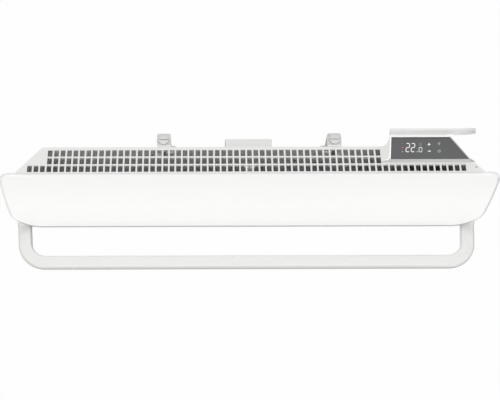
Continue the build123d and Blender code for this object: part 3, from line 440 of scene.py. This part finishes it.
panelForm = {
    "topRadius": 30 * mm,
    "bottomRadius": 60 * mm,
    "crown": 9 * mm,            # how far its middle stands in front of its top and bottom
    "edge": 94.5 * mm,          # from the wall to the top edge's face
    "straight": 425 * mm,       # half width that is straight in plan
    "endRadius": 450 * mm,      # plan radius of both ends
    "edgeRadius": 4 * mm,
    "wall": 2.2 * mm,
    "rimBack": 90.3 * mm,       # from the wall to the rim's back in the middle
    "rimGap": 0.1 * mm,         # the inner face ends this far in front of the rim's back
    "seatHalf": 454.3 * mm,     # the rim stays on the casing's front as far as this
    "cornerStart": 0.007,       # share of a corner's turn at its second point, which keeps the runs flat
    "faceRings": 14,            # from its middle to the first of the next
    "faceInsets": np.array([12, 9, 7, 5.5]) * mm,      # rings near the edge, where its shade changes
    "edgeRings": 8,             # round the edge
    "innerRings": 6,            # behind the face
    "slot": 0.999,              # share of its half height by which the innermost ring is set in
    # painted shade: darkest along its foot, round its ends and deeper round the right end, faint along
    # its top
    "footShade": (0.80, 9 * mm, 12 * mm),      # share of its shade at its foot, full to here, gone there
    "endShade": (0.30, 4 * mm, 7 * mm),        # the same round its left end
    "rightShade": 1.9,          # how much deeper that is round the right end
    "topShade": 0.13,           # share of its shade along the top of its face
    "lipShade": 0.15,           # and over its round top edge
    "footFade": (-0.6, -0.8),   # shares of its half height between which the foot's shade sets in
    "endFade": (0.9, 0.8),      # and those between which the ends' shade does
}


def joinArcs(arcs, counts):
    # arcs joined into one ring by straight runs of evenly spaced points
    ring = []
    for number, arc in enumerate(arcs):
        following = arcs[(number + 1) % len(arcs)]
        share = np.linspace(0, 1, counts[number] + 2)[1:-1, None]
        ring += [arc, arc[-1] + share * (following[0] - arc[-1])]
    return np.vstack(ring)


def outlineRing(half, inset, topRadius, bottomRadius, alongX=90, alongZ=22, perCorner=14):
    # rounded rectangle set in by a distance: four quarter circles and straight runs, anticlockwise
    turns = np.r_[0, panelForm["cornerStart"], np.linspace(0, 1, perCorner)[1:]] * pi / 2
    corners = [(1, -1, bottomRadius, -pi / 2), (1, 1, topRadius, 0), (-1, 1, topRadius, pi / 2),
               (-1, -1, bottomRadius, pi)]
    arcs = []
    for sideX, sideZ, radius, first in corners:
        reach = max(radius, inset)
        angle = first + (turns if sideX * sideZ < 0 else turns[-1] - turns[::-1])
        arc = np.stack([np.cos(angle), np.sin(angle)], axis=-1) * max(radius - inset, 0.0)
        arcs.append(arc + np.array([sideX * (half[0] - reach), sideZ * (half[1] - reach)]))
    return joinArcs(arcs, (alongZ, alongX, alongZ, alongX))


def sweptBack(x, depth):
    # a depth carried round an upright arc at both ends, so that it lies further back there
    form = panelForm
    axis = form["endRadius"] - form["edge"] - form["crown"]
    past = np.clip(np.abs(x) - form["straight"], 0, None)
    return axis - np.sqrt((axis - depth) ** 2 - past ** 2)


def panelFace(x, height):
    # depth of the crowned face: a long arc over its height, swept back at both ends
    form = panelForm
    low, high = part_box("front_panel")
    half = (high[2] - low[2]) / 2
    radius = half ** 2 / (2 * form["crown"]) + form["crown"] / 2
    middle = (low[2] + high[2]) / 2
    rise = radius - np.sqrt(radius ** 2 - (height - middle) ** 2)
    return sweptBack(x, rise - form["edge"] - form["crown"])


def fadeBetween(values, bare, full):
    # 0 at one value and 1 at another, straight between them
    return np.clip((values - bare) / (full - bare), 0, 1)


def panelShade(x, height, inset):
    # how deep the shade is on a ring, the strongest of its foot's, its ends' and its top's;
    # height is a share of the panel's half height, over its middle
    form = panelForm
    foot, ends = (shade * fadeBetween(inset, gone, full)
                  for shade, full, gone in (form["footShade"], form["endShade"]))
    lower = foot * fadeBetween(height, *form["footFade"])
    side = np.where(x > 0, form["rightShade"], 1.0)
    beside = ends * fadeBetween(height, *form["endFade"]) * side
    upper = form["topShade"] if inset > form["edgeRadius"] else form["lipShade"]
    return np.maximum(np.maximum(lower, beside), np.clip(height, 0, 1) * upper)


def buildPanel():
    # rings from the face's middle out to its edge, round it, and back behind the face
    form = panelForm
    low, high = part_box("front_panel")
    half = np.array([(high[0] - low[0]) / 2, (high[2] - low[2]) / 2])
    middle = (low[2] + high[2]) / 2
    edge = form["edgeRadius"]
    wall = form["wall"]
    innermost = half[1] * form["slot"]
    rings, shades = [], []

    def ring(inset, depth):
        # one closed ring; depth turns its face depth and its rim's back into y
        flat = outlineRing(half, inset, form["topRadius"], form["bottomRadius"])
        x, z = flat[:, 0], flat[:, 1] + middle
        face = panelFace(x, z)
        swept = sweptBack(x, -form["rimBack"])
        back = np.where(np.abs(x) < form["seatHalf"], -form["rimBack"], swept)
        rings.append(np.stack([x, depth(face, back), z], axis=-1))
        shades.append(panelShade(x, (z - middle) / half[1], inset))

    insets = form["faceInsets"]
    for inset in np.r_[np.linspace(innermost, insets[0], form["faceRings"]), insets[1:], edge]:
        ring(inset, lambda face, back: face)
    for angle in np.linspace(0, pi / 2, form["edgeRings"])[1:]:
        ring(edge * (1 - sin(angle)), lambda face, back: np.minimum(face + edge * (1 - cos(angle)), back))
    ring(0.0, lambda face, back: back)
    ring(wall, lambda face, back: back)
    for inset in np.linspace(wall, innermost, form["innerRings"]):
        ring(inset, lambda face, back: np.minimum(face + wall, back - form["rimGap"]))
    points = np.stack(rings)
    count = points.shape[1]
    lastRing = (len(rings) - 1) * count
    faces = ringFaces(len(rings), count)
    faces += [list(range(first, first + count)) for first in (0, lastRing)]
    mesh = closedMesh("frontPanel", points, faces, np.stack(shades))
    surface = surfaces["panelMoulding"]
    return addPiece("frontPanel", mesh, heaterBody, surface, ("front_panel",), 30)


buildPanel()
print("front panel")


# Towel bar

barForm = {
    "width": 28.6 * mm,
    "thickness": 14 * mm,
    "corner": 4.5 * mm,
    "height": -125 * mm,
    "front": -175 * mm,         # centre line of the front run
    "seat": -66 * mm,           # where the legs stop in their sockets
    "mouth": -84 * mm,
    "halfSpan": 466.1 * mm,     # leg's centre line at the socket's mouth
    "toeIn": 6.5,               # degrees
    "bend": 46 * mm,
    "legRings": 5,              # along each leg, each bend and the front run
    "bendRings": 26,
    "runRings": 12,
    # painted shade across the section, deepest low down, and on the sides of the legs that face right
    "shadeHeights": np.array([-1.5, 0.5, 3.0, 6.0, 7.0]) * mm,     # over its centre line
    "shadeShares": (0.84, 0.74, 0.56, 0.44, 0.0),                  # of the shade at those heights
    "rightShade": 0.65,         # share of the shade on the sides of its legs that face right
    "leftShade": 0.12,
    "sideFade": 0.7,            # share of its corner's width over which that shade sets in
}


def barPath():
    # two straight legs and a front run, joined by arcs tangent to both
    form = barForm
    drift = tan(radians(form["toeIn"]))
    seat = np.array([form["halfSpan"] + (form["seat"] - form["mouth"]) * drift, form["seat"]])
    corner = np.array([form["halfSpan"] - (form["mouth"] - form["front"]) * drift, form["front"]])
    leg = (corner - seat) / np.linalg.norm(corner - seat)
    run = np.array([-1.0, 0.0])
    turn = np.arccos(leg @ run)
    tangent = form["bend"] * tan(turn / 2)
    start = corner - leg * tangent
    centre = start + form["bend"] * np.array([leg[1], -leg[0]])
    angles = np.linspace(0, turn, form["bendRings"])
    spoke = start - centre
    arc = centre + np.stack([spoke[0] * np.cos(angles) + spoke[1] * np.sin(angles),
                             -spoke[0] * np.sin(angles) + spoke[1] * np.cos(angles)], axis=-1)
    leftArc = arc[::-1] * np.array([-1, 1])
    leftSeat = seat * np.array([-1, 1])
    rightLeg = np.linspace(seat, arc[0], form["legRings"])[:-1]
    straight = np.linspace(arc[-1], leftArc[0], form["runRings"])[1:-1]
    leftLeg = np.linspace(leftArc[-1], leftSeat, form["legRings"])[1:]
    return np.vstack([rightLeg, arc, straight, leftArc, leftLeg])


def roundedSection(width, thickness, corner, perCorner=9, perSide=5):
    # a rectangle with quarter circles at its corners, as places across and above the path
    turns = np.linspace(0, pi / 2, perCorner)
    corners = [(1, -1, -pi / 2), (1, 1, 0), (-1, 1, pi / 2), (-1, -1, pi)]
    arcs = []
    for sideX, sideZ, first in corners:
        arc = corner * np.stack([np.cos(first + turns), np.sin(first + turns)], axis=-1)
        centre = (sideX * (width / 2 - corner), sideZ * (thickness / 2 - corner))
        arcs.append(arc + np.array(centre))
    return joinArcs(arcs, (perSide,) * len(arcs))


def barShade(section, across):
    # painted shade: deepest under the bar, none on its inner top edge, and set by which way the sides of
    # its legs face
    form = barForm
    under = np.interp(section[:, 1], form["shadeHeights"], form["shadeShares"])
    under[(section[:, 0] < 0) & (section[:, 1] > 0)] = 0.0
    start = form["width"] / 2 - form["corner"]
    outward = fadeBetween(np.abs(section[:, 0]), start, start + form["corner"] * form["sideFade"])
    facing = across[:, :1] * np.sign(section[None, :, 0])
    beside = outward * np.where(facing > 0, form["rightShade"], form["leftShade"]) * facing ** 2
    return np.maximum(under[None, :], beside)


def buildBar():
    # the section carried along the path, its long side level
    form = barForm
    path = barPath()
    along = np.gradient(path, axis=0)
    along /= np.linalg.norm(along, axis=1)[:, None]
    across = np.stack([-along[:, 1], along[:, 0]], axis=-1)
    section = roundedSection(form["width"], form["thickness"], form["corner"])
    flat = path[:, None, :] + across[:, None, :] * section[None, :, :1]
    level = np.broadcast_to(form["height"] + section[None, :, 1:], (len(path), len(section), 1))
    points = np.concatenate([flat, level], axis=-1)
    count = len(section)
    lastRing = (len(path) - 1) * count
    faces = ringFaces(len(path), count)
    faces += [list(range(first, first + count)) for first in (0, lastRing)]
    mesh = closedMesh("towelBar", points, faces, barShade(section, across))
    surface = surfaces["barEnamel"]
    return addPiece("towelBar", mesh, heaterBody, surface, ("towel_bar",), 60)


buildBar()
print("towel bar")


# Shells that keep their CAD form, with moulded or folded edges

softened = [
    # piece, node, body, slot, surface, edge radius
    ("outletGrille", "top_grille", heaterBody, "grille_white", "grilleMoulding", 0.45 * mm),
    ("rearCasing", "rear_casing", heaterBody, "casing_white", "casingPowder", 0.5 * mm),
    ("controlHousing", "control_housing", heaterBody, "housing_white", "housingMoulding", 0.6 * mm),
    ("controlLid", "control_lid", lidBody, "housing_white", "lidShadedMoulding", 0.7 * mm),
    ("wallBracket", "wall_bracket", heaterBody, "bracket_white", "bracketPowder", 0.5 * mm),
    ("grilleStay", "grille_stay", heaterBody, "grille_white", "grilleMoulding", 0.3 * mm),
    ("leftSocket", "left_bar_socket", heaterBody, "socket_white", "socketMoulding", 0.8 * mm),
    ("rightSocket", "right_bar_socket", heaterBody, "socket_white", "socketMoulding", 0.8 * mm),
    ("leftLockCap", "left_lock_housing", heaterBody, "lock_grey", "lockMoulding", 0.3 * mm),
    ("rightLockCap", "right_lock_housing", heaterBody, "lock_grey", "lockMoulding", 0.3 * mm),
    ("leftKnob", "left_lock_knob", leftLockBody, "lock_grey", "knobMoulding", 0.3 * mm),
    ("rightKnob", "right_lock_knob", rightLockBody, "lock_grey", "knobMoulding", 0.3 * mm),
]
for piece, node, body, slot, surface, edgeRadius in softened:
    softenNode(piece, node, body, surfaces[surface], edgeRadius)
print("shells:", len(softened))


# Nodes that keep their CAD mesh

keptNodes = {
    "display_window": "smokedGlass",
    "display_board": "boardLacquer",
    "power_board": "boardLacquer",
    "digit_module": "blackMoulding",
    "relay": "blackMoulding",
    "overheat_cutout": "blackMoulding",
    "room_sensor": "blackMoulding",
    "cable_gland": "blackMoulding",
    "gland_nut": "blackMoulding",
    "capacitor": "greyMoulding",
    "terminal_block": "greyMoulding",
    "board_standoffs": "greyMoulding",
    "rod_bushes": "ceramicBush",
    "heating_element": "shadedAluminium",
    "heating_rod": "brightSteel",
    "touch_springs": "brightSteel",
    "panel_clips": "brightSteel",
    "socket_screws": "brightSteel",
    "grille_screw": "brightSteel",
    "lid_hinge_pin": "brightSteel",
    "left_lock_clip": "brightSteel",
    "right_lock_clip": "brightSteel",
    "left_lock_cam": "zincSheet",
    "right_lock_cam": "zincSheet",
    "left_element_support": "zincSheet",
    "right_element_support": "zincSheet",
    "partition": "zincSheet",
    "inner_baffle": "zincSheet",
    "cutout_bracket": "zincSheet",
}
for node, surface in keptNodes.items():
    for slot in nodes[node].material_slots:
        slot.material = surfaces[surface]
print("kept nodes:", len(keptNodes))


# Marks on the display

displayForm = {
    "tilt": 39.5,               # degrees
    "glass": 2 * mm,
    "lift": 0.06 * mm,          # marks stand this far over the glass
    "sink": 0.05 * mm,          # and reach this far into it
    "top": 11.1 * mm,           # the figures' top, down the slope from the glass's upper edge
    "digitWidth": 8.2 * mm,
    "digitHeight": 17.8 * mm,
    "stroke": 1.8 * mm,
    "digitLefts": (299.4 * mm, 309.4 * mm),
    "lastLeft": 324.6 * mm,     # the small last figure
    "lastWidth": 6.8 * mm,
    "lastDrop": 7.9 * mm,       # its top, below that of the others
    "lastStroke": 0.72,         # share of the others' stroke
    "pointX": 321.9 * mm,
    "pointRadius": 0.8 * mm,
    "litShare": 0.8,            # of the stroke that a bar fills, across it
    "endGap": 0.12,             # and that it leaves free at each end
}
keyForm = {
    "plus": (344.2 * mm, 13.9 * mm),       # along X and down the slope
    "minus": (345.3 * mm, 26.8 * mm),
    "arm": 3.0 * mm,
    "plusStroke": 1.7 * mm,
    "minusStroke": 1.9 * mm,
    "mode": (363.4 * mm, 13.2 * mm),
    "modeRows": np.array([(2.8, -2.0), (1.9, -0.2), (1.0, 1.6)]) * mm,     # half length, place down
    "modeStroke": 1.1 * mm,
    "power": (364.3 * mm, 26.8 * mm),
    "powerRadius": 2.3 * mm,
    "powerStroke": 0.8 * mm,
    "powerTurn": (-60, 240),    # degrees, open at the top
    "powerBar": (-3.2 * mm, -0.4 * mm),
    "dimRow": (324.4 * mm, 330.8 * mm),    # from and to
    "dimRows": 3,
    "dimTop": 11.4 * mm,
    "dimPitch": 2.1 * mm,
    "dimStroke": 1.0 * mm,
}
roundLights = [
    # name, place, radius, material, its colour and strength
    ("heatLight", (293.4 * mm, 20.1 * mm), 1.4 * mm, "litRed", (0.62, 0.10, 0.15), 0.9),
    ("faintLight", (293.1 * mm, 11.9 * mm), 1.1 * mm, "litFaint", (0.28, 0.09, 0.11), 0.7),
    ("paleLight", (293.6 * mm, 27.6 * mm), 0.8 * mm, "litPale", (0.66, 0.62, 0.58), 0.8),
]
litBars = {"2": "abged", "0": "abcdef"}


def onGlass(flat, lift):
    # points given along X and down the slope, placed over the tilted glass
    low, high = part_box("display_window")
    tilt = radians(displayForm["tilt"])
    backY = high[1] - displayForm["glass"] * sin(tilt)
    x, down = flat[:, 0], flat[:, 1]
    y = backY - down * cos(tilt) - lift * sin(tilt)
    z = high[2] - down * sin(tilt) + lift * cos(tilt)
    return np.stack([x, y, z], axis=-1)


def flatMark(outline):
    # a thin plate with the outline's form, lying on the glass
    outline = np.asarray(outline)
    count = len(outline)
    points = np.vstack([onGlass(outline, -displayForm["sink"]), onGlass(outline, displayForm["lift"])])
    lower = list(range(count))
    upper = list(range(count, 2 * count))
    return points, [lower[::-1], upper] + ringFaces(2, count)


def pointedBar(start, end, thickness):
    # a bar with pointed ends, as a six-sided outline
    start, end = np.array(start), np.array(end)
    way = (end - start) / np.linalg.norm(end - start)
    side = np.array([-way[1], way[0]]) * thickness / 2
    step = way * thickness / 2
    return np.array([start, start + step + side, end - step + side,
                     end, end - step - side, start + step - side])


def levelBar(centre, reach, thickness):
    # a pointed bar along X, as far to both sides of its centre
    return pointedBar((centre[0] - reach, centre[1]), (centre[0] + reach, centre[1]), thickness)


def digitBars(figure, left, top, width, height, stroke):
    # the lit bars of a seven-bar figure
    right, middle, bottom = left + width, top + height / 2, top + height
    inner = stroke / 2
    ends = {
        "a": ((left + inner, top + inner), (right - inner, top + inner)),
        "b": ((right - inner, top + inner), (right - inner, middle)),
        "c": ((right - inner, middle), (right - inner, bottom - inner)),
        "d": ((left + inner, bottom - inner), (right - inner, bottom - inner)),
        "e": ((left + inner, middle), (left + inner, bottom - inner)),
        "f": ((left + inner, top + inner), (left + inner, middle)),
        "g": ((left + inner, middle), (right - inner, middle)),
    }
    gap = displayForm["endGap"] * stroke
    outlines = []
    for part in litBars[figure]:
        start, end = (np.array(place) for place in ends[part])
        way = (end - start) / np.linalg.norm(end - start)
        thickness = stroke * displayForm["litShare"]
        outlines.append(pointedBar(start + way * gap, end - way * gap, thickness))
    return outlines


def disc(centre, radius, count=20):
    # a circle's points, evenly turned
    angle = np.linspace(0, 2 * pi, count, endpoint=False)
    return np.array(centre) + radius * np.stack([np.cos(angle), np.sin(angle)], axis=-1)


def arcBar(centre, radius, thickness, first, last, count=22):
    # a curved band between two angles
    angle = np.radians(np.linspace(first, last, count))
    spoke = np.stack([np.cos(angle), np.sin(angle)], axis=-1)
    outer = spoke * (radius + thickness / 2)
    inner = spoke[::-1] * (radius - thickness / 2)
    return np.array(centre) + np.vstack([outer, inner])


def addMarks(name, outlines, surface):
    # the plates of one group of marks, as one piece
    points, faces, start = [], [], 0
    for outline in outlines:
        these, quads = flatMark(outline)
        points.append(these)
        faces += [[corner + start for corner in face] for face in quads]
        start += len(these)
    mesh = closedMesh(name, np.vstack(points), faces)
    return addPiece(name, mesh, heaterBody, surface)


def buildDigits():
    # two large figures, a point and a small last figure, standing on one line
    form = displayForm
    top, height, stroke = form["top"], form["digitHeight"], form["stroke"]
    digits = []
    for left in form["digitLefts"]:
        digits += digitBars("2", left, top, form["digitWidth"], height, stroke)
    digits += digitBars("0", form["lastLeft"], top + form["lastDrop"], form["lastWidth"],
                        height - form["lastDrop"], stroke * form["lastStroke"])
    digits.append(disc((form["pointX"], top + height - form["pointRadius"]), form["pointRadius"]))
    addMarks("displayDigits", digits, litMaterial("litDigits", (0.86, 0.87, 0.86), 0.85))


def buildKeys():
    # plus and minus, then the fainter mode and power marks and the dim rows
    form = keyForm
    plus, arm = form["plus"], form["arm"]
    keys = [levelBar(plus, arm, form["plusStroke"]),
            pointedBar((plus[0], plus[1] - arm), (plus[0], plus[1] + arm), form["plusStroke"]),
            levelBar(form["minus"], arm, form["minusStroke"])]
    addMarks("displayKeys", keys, litMaterial("litKeys", (0.86, 0.86, 0.84), 0.8))
    modeX, modeY = form["mode"]
    icons = [levelBar((modeX, modeY + row), reach, form["modeStroke"]) for reach, row in form["modeRows"]]
    powerX, powerY = form["power"]
    icons.append(arcBar(form["power"], form["powerRadius"], form["powerStroke"], *form["powerTurn"]))
    barTop, barFoot = ((powerX, powerY + place) for place in form["powerBar"])
    icons.append(pointedBar(barTop, barFoot, form["powerStroke"]))
    addMarks("displayIcons", icons, litMaterial("litIcons", (0.50, 0.50, 0.49), 0.75))
    dimLeft, dimRight = form["dimRow"]
    rows = form["dimTop"] + form["dimPitch"] * np.arange(form["dimRows"])
    dim = [pointedBar((dimLeft, row), (dimRight, row), form["dimStroke"]) for row in rows]
    addMarks("displayDimRows", dim, litMaterial("litDimRows", (0.25, 0.25, 0.25), 0.7))


def buildDisplayMarks():
    # all that is lit behind the glass
    buildDigits()
    buildKeys()
    for name, place, radius, material, color, strength in roundLights:
        addMarks(name, [disc(place, radius)], litMaterial(material, color, strength))


buildDisplayMarks()
print("display marks")


# Stage: pale floor, soft lamps and the camera at the photograph's place

stageForm = {
    "floorDrop": 0.32,          # below the object's lowest point
    "floorHalf": 9.0,
    "floorColor": (0.30, 0.30, 0.30),
    "floorRoughness": 0.7,
    "whiteShare": 0.985,        # of what the camera and mirror-like rays see of the floor
    "roomColor": (0.93, 0.93, 0.925),
    "roomStrength": 0.84,
}


def whiteToCamera(material, shader, whiteShare):
    # the camera and mirror-like rays see mostly plain white, the rest of the light sees the surface
    tree = material.node_tree
    paths = addNode(tree, "LightPath")
    seenOrMirrored = addNode(tree, "Math", operation="MAXIMUM")
    orThrough = addNode(tree, "Math", operation="MAXIMUM")
    share = addNode(tree, "Math", {1: whiteShare}, operation="MULTIPLY")
    white = addNode(tree, "Emission", {"Strength": 1.0})
    mix = addNode(tree, "MixShader")
    link = tree.links.new
    link(paths.outputs["Is Camera Ray"], seenOrMirrored.inputs[0])
    link(paths.outputs["Is Glossy Ray"], seenOrMirrored.inputs[1])
    link(seenOrMirrored.outputs[0], orThrough.inputs[0])
    link(paths.outputs["Is Transmission Ray"], orThrough.inputs[1])
    link(orThrough.outputs[0], share.inputs[0])
    link(share.outputs[0], mix.inputs[0])
    link(shader.outputs[0], mix.inputs[1])
    link(white.outputs[0], mix.inputs[2])
    link(mix.outputs[0], tree.nodes["Material Output"].inputs["Surface"])


def buildFloor():
    # one wide pale square well below the object
    form = stageForm
    low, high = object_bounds()
    half, level = form["floorHalf"], low[2] - form["floorDrop"]
    corners = [(-half, -half, level), (half, -half, level), (half, half, level), (-half, half, level)]
    mesh = bpy.data.meshes.new("studioFloor")
    mesh.from_pydata(corners, [], [(0, 1, 2, 3)])
    material, shader = newMaterial("paleFloor")
    shader.inputs["Base Color"].default_value = (*form["floorColor"], 1)
    shader.inputs["Roughness"].default_value = form["floorRoughness"]
    whiteToCamera(material, shader, form["whiteShare"])
    mesh.materials.append(material)
    floor = bpy.data.objects.new("studioFloor", mesh)
    bpy.context.scene.collection.objects.link(floor)


def buildWorld():
    # an even pale room for the light, plain white for the camera
    world = bpy.data.worlds.new("paleRoom")
    bpy.context.scene.world = world
    world.use_nodes = True
    tree = world.node_tree
    room = tree.nodes["Background"]
    room.inputs["Color"].default_value = (*stageForm["roomColor"], 1)
    room.inputs["Strength"].default_value = stageForm["roomStrength"]
    white = addNode(tree, "Background", {"Color": (1, 1, 1, 1), "Strength": 1.0})
    paths = addNode(tree, "LightPath")
    mix = addNode(tree, "MixShader")
    tree.links.new(paths.outputs["Is Camera Ray"], mix.inputs[0])
    tree.links.new(room.outputs[0], mix.inputs[1])
    tree.links.new(white.outputs[0], mix.inputs[2])
    tree.links.new(mix.outputs[0], tree.nodes["World Output"].inputs["Surface"])


lampForms = {
    "frontLeftLamp": {"place": (-1.5, -2.2, 0.3), "aim": (0, -0.1, 0), "size": 1.2, "power": 21},
    "frontRightLamp": {"place": (1.5, -2.2, 0.3), "aim": (0, -0.1, 0), "size": 1.2, "power": 20},
    "topLamp": {"place": (0.1, 0.3, 2.4), "aim": (0, -0.1, 0), "size": 1.8, "power": 2},
}


def buildLamps():
    # square lamps, each turned towards the place that it lights
    for name, form in lampForms.items():
        light = bpy.data.lights.new(name, "AREA")
        light.shape = "SQUARE"
        light.size = form["size"]
        light.energy = form["power"]
        lamp = bpy.data.objects.new(name, light)
        lamp.location = form["place"]
        toward = Vector(form["aim"]) - Vector(form["place"])
        lamp.rotation_mode = "QUATERNION"
        lamp.rotation_quaternion = toward.to_track_quat("-Z", "Y")
        bpy.context.scene.collection.objects.link(lamp)


cameraForm = {
    "place": (-90.54 * mm, -1116.89 * mm, 1696.91 * mm),
    "heading": 0.0,             # degrees from +Y towards +X
    "down": 60.945,
    "roll": -0.17,
    "focal": 991.98,            # in widths of a pixel of the 500 wide frame
    "centre": (203.13, 232.64),      # where the picture's straight-ahead point lies, in those pixels
    "frame": (500, 400),
}


def buildCamera():
    # turned by heading, down and roll; its lens and shift come from the focal length and centre
    form = cameraForm
    heading, down, roll = (radians(form[key]) for key in ("heading", "down", "roll"))
    forward = Vector((sin(heading) * cos(down), cos(heading) * cos(down), -sin(down)))
    level = Vector((cos(heading), -sin(heading), 0))
    upward = level.cross(forward)
    right = level * cos(roll) + upward * sin(roll)
    up = upward * cos(roll) - level * sin(roll)
    width, height = form["frame"]
    data = bpy.data.cameras.new("photoCamera")
    data.sensor_fit = "HORIZONTAL"
    data.sensor_width = 36.0
    data.lens = form["focal"] / width * data.sensor_width
    data.shift_x = (width / 2 - form["centre"][0]) / width
    data.shift_y = (form["centre"][1] - height / 2) / width
    data.clip_start = 0.05
    data.clip_end = 60
    camera = bpy.data.objects.new("photoCamera", data)
    turned = Matrix((right, up, -forward)).transposed().to_4x4()
    camera.matrix_world = Matrix.Translation(form["place"]) @ turned
    bpy.context.scene.collection.objects.link(camera)
    bpy.context.scene.camera = camera


buildFloor()
buildWorld()
buildLamps()
buildCamera()
bpy.context.scene.view_settings.view_transform = "Standard"
print("stage")
